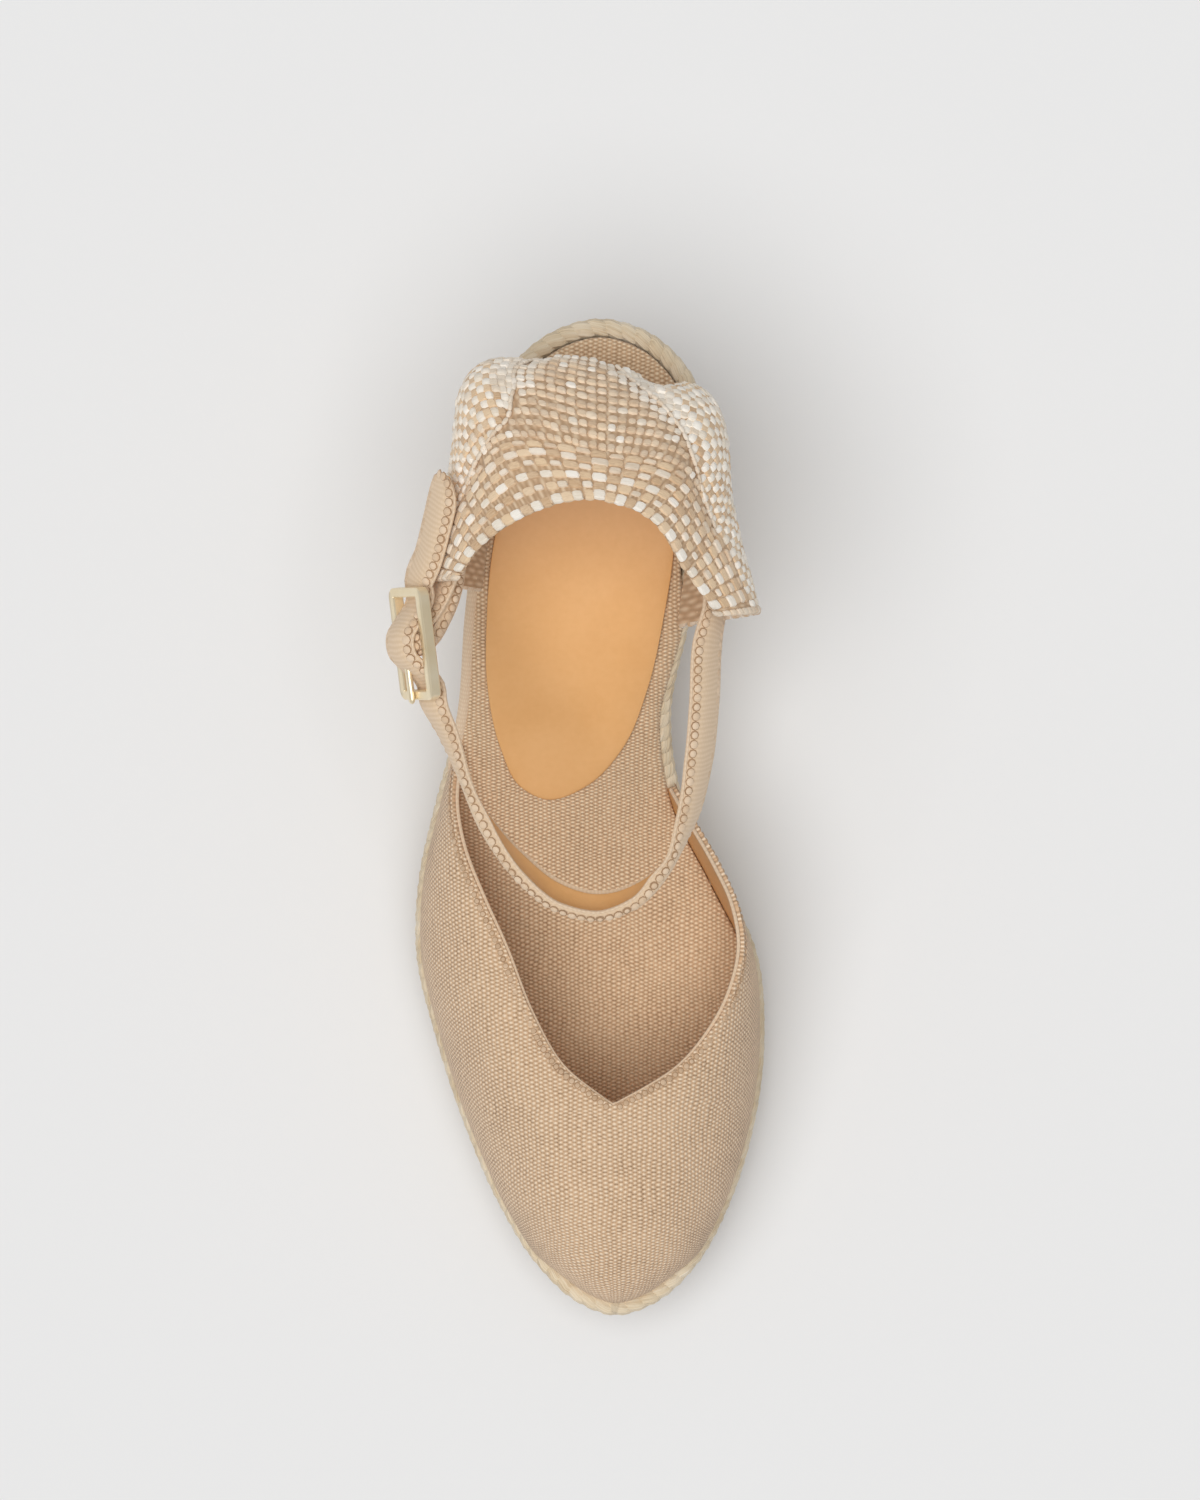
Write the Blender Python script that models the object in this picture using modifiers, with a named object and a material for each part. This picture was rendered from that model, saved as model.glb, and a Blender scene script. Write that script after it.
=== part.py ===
"""Wedge espadrille for the right foot, at its real size.

The floor is z = 0, the toe points to -Y, the heel to +Y and the inner (medial) side to +X.
The origin lies on the floor under the waist. Sizes are in millimetres; MM turns them into metres.
"""

import math
from collections import namedtuple

import bmesh
import bpy
from mathutils import Matrix, Vector

MM = 0.001
GAP = 0.35  # clearance between neighbouring solids
MERGE = 0.02  # points nearer than this are one

# Sole: plan of the top edge, from heel to toe. Draft is how far the tread stands out beyond the top edge.
HEEL_APEX = {"x": 0.0, "y": 98.3, "draft": -1.8}
TOE_APEX = {"x": 3.4, "y": -133.5, "draft": -1.0}
PlanRow = namedtuple("PlanRow", "y lateral medial lateral_draft medial_draft")
SOLE_PLAN = (
    (95.0, -11.5, 11.5, -1.8, -1.8),
    (87.0, -20.5, 20.0, -1.6, -1.6),
    (72.0, -25.8, 25.2, -1.4, -1.2),
    (52.0, -28.4, 24.4, -1.2, -0.4),
    (30.0, -31.0, 20.6, -1.0, 0.2),
    (8.0, -33.0, 16.4, -0.8, 0.4),
    (-12.0, -38.4, 19.5, -0.8, 0.2),
    (-30.0, -42.6, 28.5, -0.8, -0.2),
    (-48.0, -43.4, 37.0, -0.8, -0.6),
    (-68.0, -38.9, 38.9, -0.8, -0.8),
    (-90.0, -31.6, 36.2, -0.8, -0.8),
    (-108.0, -23.6, 30.4, -0.8, -0.8),
    (-122.0, -14.6, 22.6, -0.8, -0.8),
    (-130.5, -5.2, 13.2, -0.9, -0.9),
)
PLAN_STEPS = 2  # samples to each row of the plan
EDGE_STEPS = 12  # the same where another piece is fitted to the edge
EDGE_CATCH = 0.05  # places this near to the toe are its apex

# Footbed along the foot (y, height), and the tread under it
FOOTBED = (
    (98.3, 80.0),
    (80.0, 79.0),
    (60.0, 75.5),
    (40.0, 69.0),
    (20.0, 59.0),
    (0.0, 47.0),
    (-20.0, 35.6),
    (-40.0, 27.2),
    (-60.0, 23.2),
    (-80.0, 22.4),
    (-100.0, 23.6),
    (-120.0, 26.6),
    (-133.5, 29.6),
)
BALL_Y = -60.0  # the tread is flat behind this line and springs up ahead of it
TOE_SPRING = 10.2
TOE_SPRING_POWER = 1.8

OUTSOLE_THICKNESS = 3.0
OUTSOLE_INSET = 1.0
OUTSOLE_ROUND = 0.6

# Jute wedge: braid rows stacked level with the floor, under one rim braid that follows the footbed
ROW_PITCH = 7.4
ROW_BULGE = 1.0
ROW_FULLNESS = 1.6  # above 1 a row is flat-sided between its rounded edges
ROW_LEVELS = 3
RIM_RADIUS = 3.2
RIM_DROP = 1.4  # rim braid's top below the footbed

INSOLE_THICKNESS = 3.0
INSOLE_UNDER_INSET = 6.7
INSOLE_EDGE_INSET = 5.3
INSOLE_EDGE_DEPTH = 1.3
INSOLE_TOP_INSET = 5.7

PAD_THICKNESS = 0.9
PAD_REAR = {"x": -1.0, "y": 78.0, "draft": 0.0}
PAD_FRONT = {"x": -12.6, "y": -11.6, "draft": 0.0}
PAD_PLAN = (
    (74.5, -11.5, 9.5, 0.0, 0.0),
    (66.0, -18.6, 15.5, 0.0, 0.0),
    (48.0, -23.4, 17.0, 0.0, 0.0),
    (30.0, -25.8, 14.6, 0.0, 0.0),
    (14.0, -26.0, 11.0, 0.0, 0.0),
    (0.5, -23.2, 5.4, 0.0, 0.0),
    (-8.2, -18.6, -3.2, 0.0, 0.0),
)

# Vamp: canvas shell over the toes. Each row is a section from the rim at base_y up to a point of the crown
# or the topline. Height is above the rim. Shoulder is the height, as a share of the section's own, at which
# the wall turns inwards; flare is how far it leans out on the way up.
VAMP_THICKNESS = 1.8
VAMP_INSET = 2.2
VAMP_LEVELS = 6
VAMP_STEPS = 2
VAMP_FULLNESS = 0.56
VampRow = namedtuple("VampRow", "base_y y x height shoulder flare")
VAMP_CROWN = (
    (-131.3, -110.0, 3.7, 24.4, 0.58, 0.0),
    (-130.4, -110.0, 3.7, 24.4, 0.61, 0.0),
    (-127.0, -110.0, 3.7, 24.4, 0.74, 0.0),
    (-121.0, -110.0, 3.7, 24.4, 0.90, 0.2),
    (-112.5, -104.0, 3.7, 27.6, 1.00, 0.4),
    (-103.0, -97.0, 3.6, 31.2, 1.00, 0.6),
    (-93.5, -89.4, 3.3, 34.8, 1.00, 0.6),
    (-84.0, -81.5, 3.0, 38.0, 1.00, 0.6),
)
VAMP_TOPLINE = {
    "lateral": (
        (-74.0, -73.0, -8.6, 36.6, 0.97, 0.6),
        (-61.5, -61.0, -15.5, 33.6, 0.92, 0.5),
        (-45.4, -45.4, -21.5, 29.4, 0.86, 0.4),
        (-34.3, -34.3, -26.4, 25.4, 0.82, 0.3),
        (-22.2, -22.2, -31.0, 19.6, 0.78, 0.2),
        (-12.0, -12.0, -33.4, 13.0, 0.74, 0.0),
        (-4.0, -4.0, -33.8, 6.5, 0.70, 0.0),
        (1.0, 1.0, -33.6, 2.2, 0.65, 0.0),
    ),
    "medial": (
        (-80.0, -78.4, 10.0, 37.6, 0.99, 0.7),
        (-73.5, -72.9, 18.5, 36.4, 0.95, 0.9),
        (-65.2, -65.2, 25.4, 34.4, 0.90, 1.1),
        (-56.3, -56.3, 30.6, 31.6, 0.84, 1.4),
        (-45.0, -45.0, 33.4, 28.4, 0.76, 1.6),
        (-35.6, -35.6, 31.9, 25.6, 0.70, 2.0),
        (-25.7, -25.7, 27.4, 21.0, 0.64, 2.2),
        (-16.0, -16.0, 21.8, 13.0, 0.60, 1.6),
        (-8.5, -8.5, 17.6, 3.0, 0.55, 0.6),
    ),
}

# Woven heel band, from its lateral front edge round the heel to its medial front edge. The lower edge
# stands on the rim at both sides and arches clear of the footbed behind the heel.
BAND_THICKNESS = 2.0
BAND_STEPS = 4
BAND_LEVELS = 8
BandFold = namedtuple("BandFold", "low mid top")
BAND_FOLDS = (
    ((-28.2, 37.0, 67.6), (-38.6, 38.2, 93.0), (-32.8, 38.2, 118.0)),
    ((-25.6, 56.0, 74.0), (-34.8, 60.0, 100.0), (-26.4, 45.2, 124.5)),
    ((-24.2, 87.0, 97.0), (-28.8, 78.5, 110.0), (-15.4, 51.4, 130.5)),
    ((0.0, 88.5, 99.0), (0.0, 75.5, 119.0), (0.0, 55.0, 134.0)),
    ((22.0, 83.0, 97.0), (25.2, 69.4, 110.0), (11.5, 50.5, 131.0)),
    ((21.6, 50.0, 72.0), (30.6, 52.4, 100.0), (19.8, 38.5, 124.5)),
    ((18.6, 28.5, 63.2), (36.0, 31.2, 96.0), (26.6, 29.8, 117.0)),
)

# Ankle strap: one canvas strip, folded round the buckle's bar, led inside the heel band, round the front
# of the ankle and back through the buckle to its free end.
STRAP_WIDTH = 11.0
STRAP_THICKNESS = 1.7
STRAP_STEP = 4.2
STRAP_IN_BAND = 0.73  # share of the band's height
# Place along the band, and clearance between strap and band there
STRAP_BAND = (
    (0.03, 1.6),
    (0.10, 1.0),
    (0.18, 0.9),
    (0.26, 0.9),
    (0.34, 0.9),
    (0.42, 0.9),
    (0.50, 0.9),
    (0.58, 0.9),
    (0.66, 0.9),
    (0.74, 0.9),
    (0.82, 0.9),
    (0.90, 1.2),
    (0.97, 2.2),
)
# Middle of the strap (x, y, z), and its top edge's tilt towards the ankle in degrees
STRAP_LOOP = (
    (24.6, 23.6, 105.0, 27.0),
    (24.0, 11.2, 102.8, 27.0),
    (22.8, -2.2, 100.2, 25.0),
    (20.2, -15.7, 97.4, 18.0),
    (15.2, -26.9, 95.2, 1.0),
    (8.6, -33.1, 93.8, -18.0),
    (0.0, -35.6, 93.2, -28.0),
    (-9.9, -33.2, 93.6, -28.0),
    (-18.6, -26.4, 95.0, -18.0),
    (-26.0, -17.0, 97.0, -5.0),
    (-31.0, -6.4, 99.4, 8.0),
    (-34.8, 3.6, 101.8, 18.0),
)
STRAP_TAIL = (
    (-38.9, 43.0, 108.6, 29.0),
    (-37.0, 50.0, 110.4, 30.0),
    (-35.6, 56.0, 111.8, 30.0),
    (-34.6, 61.0, 112.8, 30.0),
)

# The strap at the buckle, as (along the strap, out of the buckle's face) from the buckle's centre
FOLD_INNER = ((15.4, -14.2), (10.4, -12.4), (6.4, -7.2), (3.6, -3.3))
FOLD_ANGLES = (-80, -40, 0, 40, 80)
FOLD_OUTER = ((3.4, 0.75), (6.8, -4.6), (10.4, -9.9))
CLIMB = (5.6, 1.35)  # the free end on its way from the end bar to the centre bar
CREST_ALONG = 2.4
CREST_SHARE = 0.93  # of the height over the centre bar
CREST_LIFT = 0.1
END_BAR_REACH = 1.6  # how far the strap stays flat on each side of an end bar

# Centre-bar buckle on the lateral side, standing on edge with the strap
BUCKLE_CENTRE = (-41.4, 23.8, 105.6)
BUCKLE_ALONG = (-0.118, 0.990, 0.075)  # from the toe end of the frame to the heel end
BUCKLE_LEAN = 27.0
BUCKLE_LENGTH = 25.2
BUCKLE_WIDTH = 15.8
BUCKLE_THICKNESS = 1.8
BUCKLE_END_BAR = 1.9
BUCKLE_SIDE_BAR = 2.0
BUCKLE_CENTRE_BAR = 1.6
BUCKLE_BEVEL = 0.4
BAR_CORNER = 0.62  # reach of the centre bar's corners, as a share of its width
PRONG_RADIUS = 0.75
PRONG_WRAP = 250.0  # degrees of the prong's eye round the bar
PRONG_HOLE = 1.25
PRONG_TIP = -13.4
PRONG_SLOT = 3.4
PRONG_SLOT_ROOM = 0.3
PRONG_LEAVES = -1.0  # where the prong leaves its eye, along the strap
PRONG_TURNS = 10

COLOURS = {
    "canvas": (0.56, 0.39, 0.26),
    "jute": (0.58, 0.46, 0.29),
    "woven": (0.70, 0.56, 0.42),
    "leather": (0.64, 0.37, 0.14),
    "rubber": (0.50, 0.36, 0.22),
    "metal": (0.78, 0.70, 0.52),
}
ROUGHNESS = {"leather": 0.5, "rubber": 0.7, "metal": 0.2}


def hermite(before, start, end, after, share):
    """Point on a smooth curve between start and end, at that share of the span."""
    span = (end - start).length
    if not span:
        return start.copy()
    lead = (start - before).length or span
    trail = (after - end).length or span
    leave = ((start - before) * (span / lead) + (end - start) * (lead / span)) / (lead + span) * span
    arrive = ((end - start) * (trail / span) + (after - end) * (span / trail)) / (span + trail) * span
    square, cube = share**2, share**3
    return (
        start * (2 * cube - 3 * square + 1)
        + leave * (cube - 2 * square + share)
        + end * (3 * square - 2 * cube)
        + arrive * (cube - square)
    )


def closed_curve(points, steps):
    count = len(points)
    return [
        hermite(*(points[(i + k) % count] for k in (-1, 0, 1, 2)), step / steps)
        for i in range(count)
        for step in range(steps)
    ]


def open_curve(points, steps):
    ends = [points[0] * 2 - points[1], *points, points[-1] * 2 - points[-2]]
    curve = [
        hermite(*ends[i : i + 4], step / steps)
        for i in range(len(points) - 1)
        for step in range(steps)
    ]
    return [*curve, points[-1]]


def along(rows, where):
    """Smooth value of a two-column table at that place in its first column."""
    rows = sorted(rows)
    places = [row[0] for row in rows]
    where = min(max(where, places[0]), places[-1])
    i = next(k for k in range(len(rows) - 1) if where <= places[k + 1])

    def slope(k):
        low, high = rows[max(k - 1, 0)], rows[min(k + 1, len(rows) - 1)]
        return (high[1] - low[1]) / (high[0] - low[0])

    span = places[i + 1] - places[i]
    share = (where - places[i]) / span
    square, cube = share**2, share**3
    return (
        rows[i][1] * (2 * cube - 3 * square + 1)
        + slope(i) * span * (cube - 2 * square + share)
        + rows[i + 1][1] * (3 * square - 2 * cube)
        + slope(i + 1) * span * (cube - square)
    )


def footbed(y):
    return along(FOOTBED, y)


def below_footbed(y, depth):
    """Height of a layer that lies this deep under the footbed, measured square to its slope."""
    slope = footbed(y + 0.5) - footbed(y - 0.5)
    return footbed(y) - depth * math.sqrt(1 + slope**2)


def tread(y):
    if y >= BALL_Y:
        return 0.0
    return TOE_SPRING * ((BALL_Y - y) / (BALL_Y - TOE_APEX["y"])) ** TOE_SPRING_POWER


def apex_point(apex):
    return Vector((apex["x"], apex["y"], apex["draft"]))


def closed_plan(rows, heel, toe, steps):
    """Plan samples from the toe up the lateral side to the heel and back: x, y and draft.

    Sample k on the lateral side faces sample count - k on the medial side.
    """
    rows = [PlanRow(*row) for row in rows]
    lateral = [Vector((row.lateral, row.y, row.lateral_draft)) for row in reversed(rows)]
    medial = [Vector((row.medial, row.y, row.medial_draft)) for row in rows]
    return closed_curve([apex_point(toe), *lateral, apex_point(heel), *medial], steps)


def outward(plan, k):
    """Unit plan normal at sample k, away from the foot."""
    run = plan[(k + 1) % len(plan)] - plan[k - 1]
    return Vector((-run.y, run.x)).normalized()


def ring(plan, height, spread=None):
    """One level of a solid: height(y) above the floor, moved out by spread(sample, height)."""
    level = []
    for k, point in enumerate(plan):
        out = outward(plan, k) * (spread(point, height(point.y)) if spread else 0.0)
        x, y = point.x + out.x, point.y + out.y
        level.append(Vector((x, y, height(y))))
    return level


def sole_plan():
    return closed_plan(SOLE_PLAN, HEEL_APEX, TOE_APEX, PLAN_STEPS)


def draft_at(point, z):
    """How far the sole's side stands out from its top edge at this height."""
    top = footbed(point.y)
    return point.z * (top - z) / (top - tread(point.y))


def edge_point(side, y, inset):
    """Plan point on one side of the sole at y, moved in from its edge."""
    plan = closed_plan(SOLE_PLAN, HEEL_APEX, TOE_APEX, EDGE_STEPS)
    half = len(plan) // 2
    inner = [Vector((p.x, p.y)) - outward(plan, k) * inset for k, p in enumerate(plan)]
    run = inner[: half + 1] if side == "lateral" else [inner[0], *reversed(inner[half:])]
    if y <= run[0].y + EDGE_CATCH:
        return run[0]
    k = next(k for k in range(len(run) - 1) if run[k + 1].y >= y)
    share = (y - run[k].y) / (run[k + 1].y - run[k].y)
    return run[k].lerp(run[k + 1], share)


def material_for(name):
    found = bpy.data.materials.get(name)
    if found:
        return found
    made = bpy.data.materials.new(name)
    made.use_nodes = True
    shader = made.node_tree.nodes["Principled BSDF"]
    shader.inputs["Base Color"].default_value = (*COLOURS[name], 1.0)
    shader.inputs["Roughness"].default_value = ROUGHNESS.get(name, 0.9)
    shader.inputs["Metallic"].default_value = 1.0 if name == "metal" else 0.0
    return made


def new_object(name, data, collection, material=None):
    made = bpy.data.objects.new(name, data)
    collection.objects.link(made)
    if material:
        data.materials.append(material_for(material))
    return made


def mesh_object(name, shape, collection, material=None):
    """Object from a bmesh in millimetres."""
    bmesh.ops.scale(shape, vec=(MM, MM, MM), verts=shape.verts)
    mesh = bpy.data.meshes.new(name)
    shape.to_mesh(mesh)
    shape.free()
    return new_object(name, mesh, collection, material)


def bridge(shape, low, high):
    """Walls between two closed levels of vertices, facing out on a plan that runs clockwise from above."""
    count = len(low)
    for k in range(count):
        after = (k + 1) % count
        shape.faces.new((low[k], high[k], high[after], low[after]))


def ladder(shape, level, up):
    """Cap across a plan level, by rungs from the lateral to the medial side."""
    count = len(level)
    for k in range(count // 2):
        corners = [level[k], level[k + 1], level[(count - k - 1) % count], level[(count - k) % count]]
        corners = list(dict.fromkeys(corners))
        shape.faces.new(corners if not up else corners[::-1])


def stacked(levels):
    """Closed solid from plan levels, lowest first."""
    shape = bmesh.new()
    made = [[shape.verts.new(point) for point in level] for level in levels]
    for low, high in zip(made, made[1:]):
        bridge(shape, low, high)
    ladder(shape, made[0], up=False)
    ladder(shape, made[-1], up=True)
    bmesh.ops.remove_doubles(shape, verts=shape.verts, dist=MERGE)
    bmesh.ops.recalc_face_normals(shape, faces=shape.faces)
    return shape


def build_outsole(parts):
    plan = sole_plan()

    def inset(depth):
        return lambda point, z: draft_at(point, z) - depth

    levels = [
        ring(plan, tread, inset(OUTSOLE_INSET + OUTSOLE_ROUND)),
        ring(plan, lambda y: tread(y) + OUTSOLE_ROUND, inset(OUTSOLE_INSET)),
        ring(plan, lambda y: tread(y) + OUTSOLE_THICKNESS, inset(OUTSOLE_INSET)),
    ]
    mesh_object("outsole", stacked(levels), parts, "rubber")


def row_bulge(height):
    """How far a braid row stands out at this height above the outsole: round, with a groove between rows."""
    return ROW_BULGE * min(1.0, ROW_FULLNESS * math.sin(math.pi * (height / ROW_PITCH % 1.0)))


def build_wedge(parts):
    plan = sole_plan()
    base = OUTSOLE_THICKNESS + GAP
    shoulder_depth = RIM_DROP + 2 * RIM_RADIUS + GAP
    rabbet = 2 * RIM_RADIUS + GAP
    tallest = footbed(HEEL_APEX["y"]) - base - shoulder_depth
    level_height = ROW_PITCH / ROW_LEVELS
    count = math.ceil(tallest / level_height) + 1

    def shoulder(y):
        return below_footbed(y, shoulder_depth)

    def side_height(step):
        return lambda y: min(tread(y) + base + step * level_height, shoulder(y))

    def side_spread(point, z):
        return draft_at(point, z) - ROW_BULGE + row_bulge(z - tread(point.y) - base)

    def rabbet_spread(point, z):
        return -rabbet

    levels = [ring(plan, side_height(step), side_spread) for step in range(count)]
    levels.append(ring(plan, shoulder, rabbet_spread))
    levels.append(ring(plan, lambda y: below_footbed(y, INSOLE_THICKNESS + GAP), rabbet_spread))
    mesh_object("jute_wedge", stacked(levels), parts, "jute")


def tube(name, points, radius, sides, parts, material, cyclic=False):
    """Round bar or rope along a polyline, in millimetres."""
    curve = bpy.data.curves.new(name, "CURVE")
    curve.dimensions = "3D"
    curve.bevel_depth = radius * MM
    curve.bevel_resolution = sides // 2 - 2
    curve.use_fill_caps = not cyclic
    spline = curve.splines.new("POLY")
    spline.points.add(len(points) - 1)
    for point, place in zip(spline.points, points):
        point.co = (*(place * MM), 1.0)
    spline.use_cyclic_u = cyclic
    return new_object(name, curve, parts, material)


def build_rim(parts):
    plan = sole_plan()
    path = ring(
        plan,
        lambda y: below_footbed(y, RIM_DROP + RIM_RADIUS),
        lambda point, z: -RIM_RADIUS,
    )
    tube("rim_braid", path, RIM_RADIUS, 8, parts, "jute", cyclic=True)


def build_insole(parts):
    plan = sole_plan()

    def level(depth, inset):
        return ring(plan, lambda y: below_footbed(y, depth), lambda point, z: -inset)

    levels = [
        level(INSOLE_THICKNESS, INSOLE_UNDER_INSET),
        level(INSOLE_EDGE_DEPTH, INSOLE_EDGE_INSET),
        level(INSOLE_EDGE_DEPTH / 3, INSOLE_EDGE_INSET),
        level(0.0, INSOLE_TOP_INSET),
    ]
    mesh_object("insole", stacked(levels), parts, "canvas")


def build_heel_pad(parts):
    plan = closed_plan(PAD_PLAN, PAD_REAR, PAD_FRONT, PLAN_STEPS)
    levels = [ring(plan, lambda y, rise=rise: footbed(y) + rise) for rise in (GAP, GAP + PAD_THICKNESS)]
    mesh_object("heel_pad", stacked(levels), parts, "leather")


def vamp_sections(side):
    """Rows of one half of the vamp, with smooth rows between them."""
    rows = [VampRow(*row) for row in (*VAMP_CROWN, *VAMP_TOPLINE[side])]
    throat = len(VAMP_CROWN) - 1
    points = [Vector((row.y, row.x, row.height)) for row in rows]
    crown = open_curve(points[: throat + 1], VAMP_STEPS)
    places = [*crown[:-1], *open_curve(points[throat:], VAMP_STEPS)]
    sections = []
    for k, place in enumerate(places):
        near = rows[k // VAMP_STEPS]
        far = rows[min(k // VAMP_STEPS + 1, len(rows) - 1)]
        share = k % VAMP_STEPS / VAMP_STEPS
        base_y = near.base_y + (far.base_y - near.base_y) * share
        shoulder = near.shoulder + (far.shoulder - near.shoulder) * share
        flare = near.flare + (far.flare - near.flare) * share
        sections.append(VampRow(base_y, *place, shoulder, flare))
    return sections


def vamp_wall(side, base_y, y, x, height, shoulder, flare):
    """Section of one half of the vamp, from the rim up to its crown or topline."""
    edge = edge_point(side, base_y, VAMP_INSET)
    out = -1.0 if side == "lateral" else 1.0
    rim = below_footbed(edge.y, RIM_DROP - GAP)
    low = Vector((edge.x, edge.y, rim))
    top = Vector((x, y, below_footbed(y, RIM_DROP - GAP) + height))
    turn = Vector((edge.x + out * flare, edge.y, rim + shoulder * (top.z - rim)))
    lower = low.lerp(turn, VAMP_FULLNESS)
    upper = top.lerp(turn, VAMP_FULLNESS)
    wall = []
    for level in range(VAMP_LEVELS + 1):
        t = level / VAMP_LEVELS
        s = 1 - t
        wall.append(low * s**3 + lower * 3 * s**2 * t + upper * 3 * s * t**2 + top * t**3)
    return wall


def grid_faces(shape, rows, flip):
    """Quads over rows of points; flip turns them to face the other way."""
    made = [[shape.verts.new(point) for point in row] for row in rows]
    for near, far in zip(made, made[1:]):
        for j in range(len(near) - 1):
            corners = (near[j], far[j], far[j + 1], near[j + 1])
            shape.faces.new(corners[::-1] if flip else corners)


def thicken(obj, thickness):
    """Wall of this thickness under a surface that faces out."""
    wall = obj.modifiers.new("wall", "SOLIDIFY")
    wall.thickness = thickness * MM
    wall.offset = -1.0
    wall.use_even_offset = True
    wall.use_quality_normals = True
    return wall


def build_vamp(parts):
    shape = bmesh.new()
    for side in ("lateral", "medial"):
        walls = [vamp_wall(side, *row) for row in vamp_sections(side)]
        grid_faces(shape, walls, flip=side == "lateral")
    bmesh.ops.remove_doubles(shape, verts=shape.verts, dist=MERGE)
    thicken(mesh_object("vamp", shape, parts, "canvas"), VAMP_THICKNESS)


def band_point(u, v):
    """Point on the band's outer face: u from its lateral to its medial end, v from its lower edge up."""
    spans = len(BAND_FOLDS) - 1
    i = min(int(u * spans), spans - 1)
    share = u * spans - i
    edges = []
    for level in BandFold._fields:
        points = [Vector(getattr(BandFold(*row), level)) for row in BAND_FOLDS]
        padded = [points[0] * 2 - points[1], *points, points[-1] * 2 - points[-2]]
        edges.append(hermite(*padded[i : i + 4], share))
    low, middle, top = edges
    belly = middle * 2 - (low + top) / 2
    return low * (1 - v) ** 2 + belly * 2 * v * (1 - v) + top * v**2


def band_frame(u, v):
    """Place on the band's outer face, the way up its height, and the way out of it."""
    step = 0.004
    place = band_point(u, v)
    up = (band_point(u, v + step) - band_point(u, v - step)).normalized()
    run = band_point(min(u + step, 1.0), v) - band_point(max(u - step, 0.0), v)
    return place, up, up.cross(run).normalized()


def build_heel_band(parts):
    columns = (len(BAND_FOLDS) - 1) * BAND_STEPS
    rows = [
        [band_point(i / columns, j / BAND_LEVELS) for j in range(BAND_LEVELS + 1)]
        for i in range(columns + 1)
    ]
    shape = bmesh.new()
    grid_faces(shape, rows, flip=True)
    thicken(mesh_object("heel_band", shape, parts, "woven"), BAND_THICKNESS)


def buckle_axes():
    """The buckle's own directions: along the strap, up across its width and out of its face."""
    run = Vector(BUCKLE_ALONG).normalized()
    level_out = Vector((0, 0, 1)).cross(run).normalized()
    lean = math.radians(BUCKLE_LEAN)
    out = (level_out * math.cos(lean) + Vector((0, 0, 1)) * math.sin(lean)).normalized()
    out = (out - run * out.dot(run)).normalized()
    return run, run.cross(out).normalized(), out


def at_buckle(along_strap, out_of_face, across=0.0):
    run, width, out = buckle_axes()
    return Vector(BUCKLE_CENTRE) + run * along_strap + out * out_of_face + width * across


def buckle_matrix():
    run, width, out = buckle_axes()
    turn = Matrix((width, run, out)).transposed().to_4x4()
    return Matrix.Translation(Vector(BUCKLE_CENTRE) * MM) @ turn


def strap_under_bar():
    return -(BUCKLE_THICKNESS / 2 + GAP + STRAP_THICKNESS / 2)


def strap_round_bar():
    """Radius of the strap's middle where it folds round the centre bar."""
    return BUCKLE_CENTRE_BAR * BAR_CORNER + GAP + STRAP_THICKNESS / 2


def strap_fold():
    """The strap's sewn end, from inside the band round the centre bar and out again: along, out."""
    turn = strap_round_bar()
    bend = [
        (-turn * math.cos(math.radians(angle)), turn * math.sin(math.radians(angle)))
        for angle in FOLD_ANGLES
    ]
    return [*FOLD_INNER, *bend, *FOLD_OUTER]


def strap_through_buckle():
    """The strap's free end, under the toe end bar, over the centre bar and under the heel end bar."""
    under = strap_under_bar()
    over = strap_round_bar() + STRAP_THICKNESS + GAP
    end_bar = (BUCKLE_LENGTH - BUCKLE_END_BAR) / 2
    flat = [(end_bar + END_BAR_REACH, under), (end_bar - END_BAR_REACH, under)]
    half = [*flat, CLIMB, (CREST_ALONG, over * CREST_SHARE)]
    return [*((-s, n) for s, n in half), (0.0, over + CREST_LIFT), *reversed(half)]


def leaning(tangent, lean):
    """The strap's width direction where it runs along tangent, its top edge leaning in by lean degrees."""
    run = tangent.normalized()
    out = Vector((0, 0, 1)).cross(run).normalized()
    up = Vector((0, 0, 1)) * math.cos(math.radians(lean)) - out * math.sin(math.radians(lean))
    return (up - run * up.dot(run)).normalized()


def leaning_stations(rows):
    places = [Vector(row[:3]) for row in rows]
    stations = []
    for k, row in enumerate(rows):
        run = places[min(k + 1, len(rows) - 1)] - places[max(k - 1, 0)]
        stations.append((places[k], leaning(run, row[3])))
    return stations


def band_stations():
    """The strap against the band's inner face, from the lateral to the medial side."""
    stations = []
    for u, gap in STRAP_BAND:
        place, up, out = band_frame(u, STRAP_IN_BAND)
        stations.append((place - out * (BAND_THICKNESS + gap + STRAP_THICKNESS / 2), up))
    return stations


def strap_stations():
    """Middle of the strap and its width direction, from the sewn end to the free end."""
    width = buckle_axes()[1]
    return [
        *((at_buckle(*place), width) for place in strap_fold()),
        *band_stations(),
        *leaning_stations(STRAP_LOOP),
        *((at_buckle(*place), width) for place in strap_through_buckle()),
        *leaning_stations(STRAP_TAIL),
    ]


def even_stations(stations, step):
    """The stations joined by a smooth curve and read again about a step apart, closer round tight bends."""
    places = [place for place, _ in stations]
    ends = [places[0] * 2 - places[1], *places, places[-1] * 2 - places[-2]]
    made = []
    for i in range(len(stations) - 1):
        count = max(1, round((places[i + 1] - places[i]).length / step))
        for k in range(count):
            share = k / count
            up = stations[i][1].lerp(stations[i + 1][1], share)
            made.append((hermite(*ends[i : i + 4], share), up))
    return [*made, stations[-1]]


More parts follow.
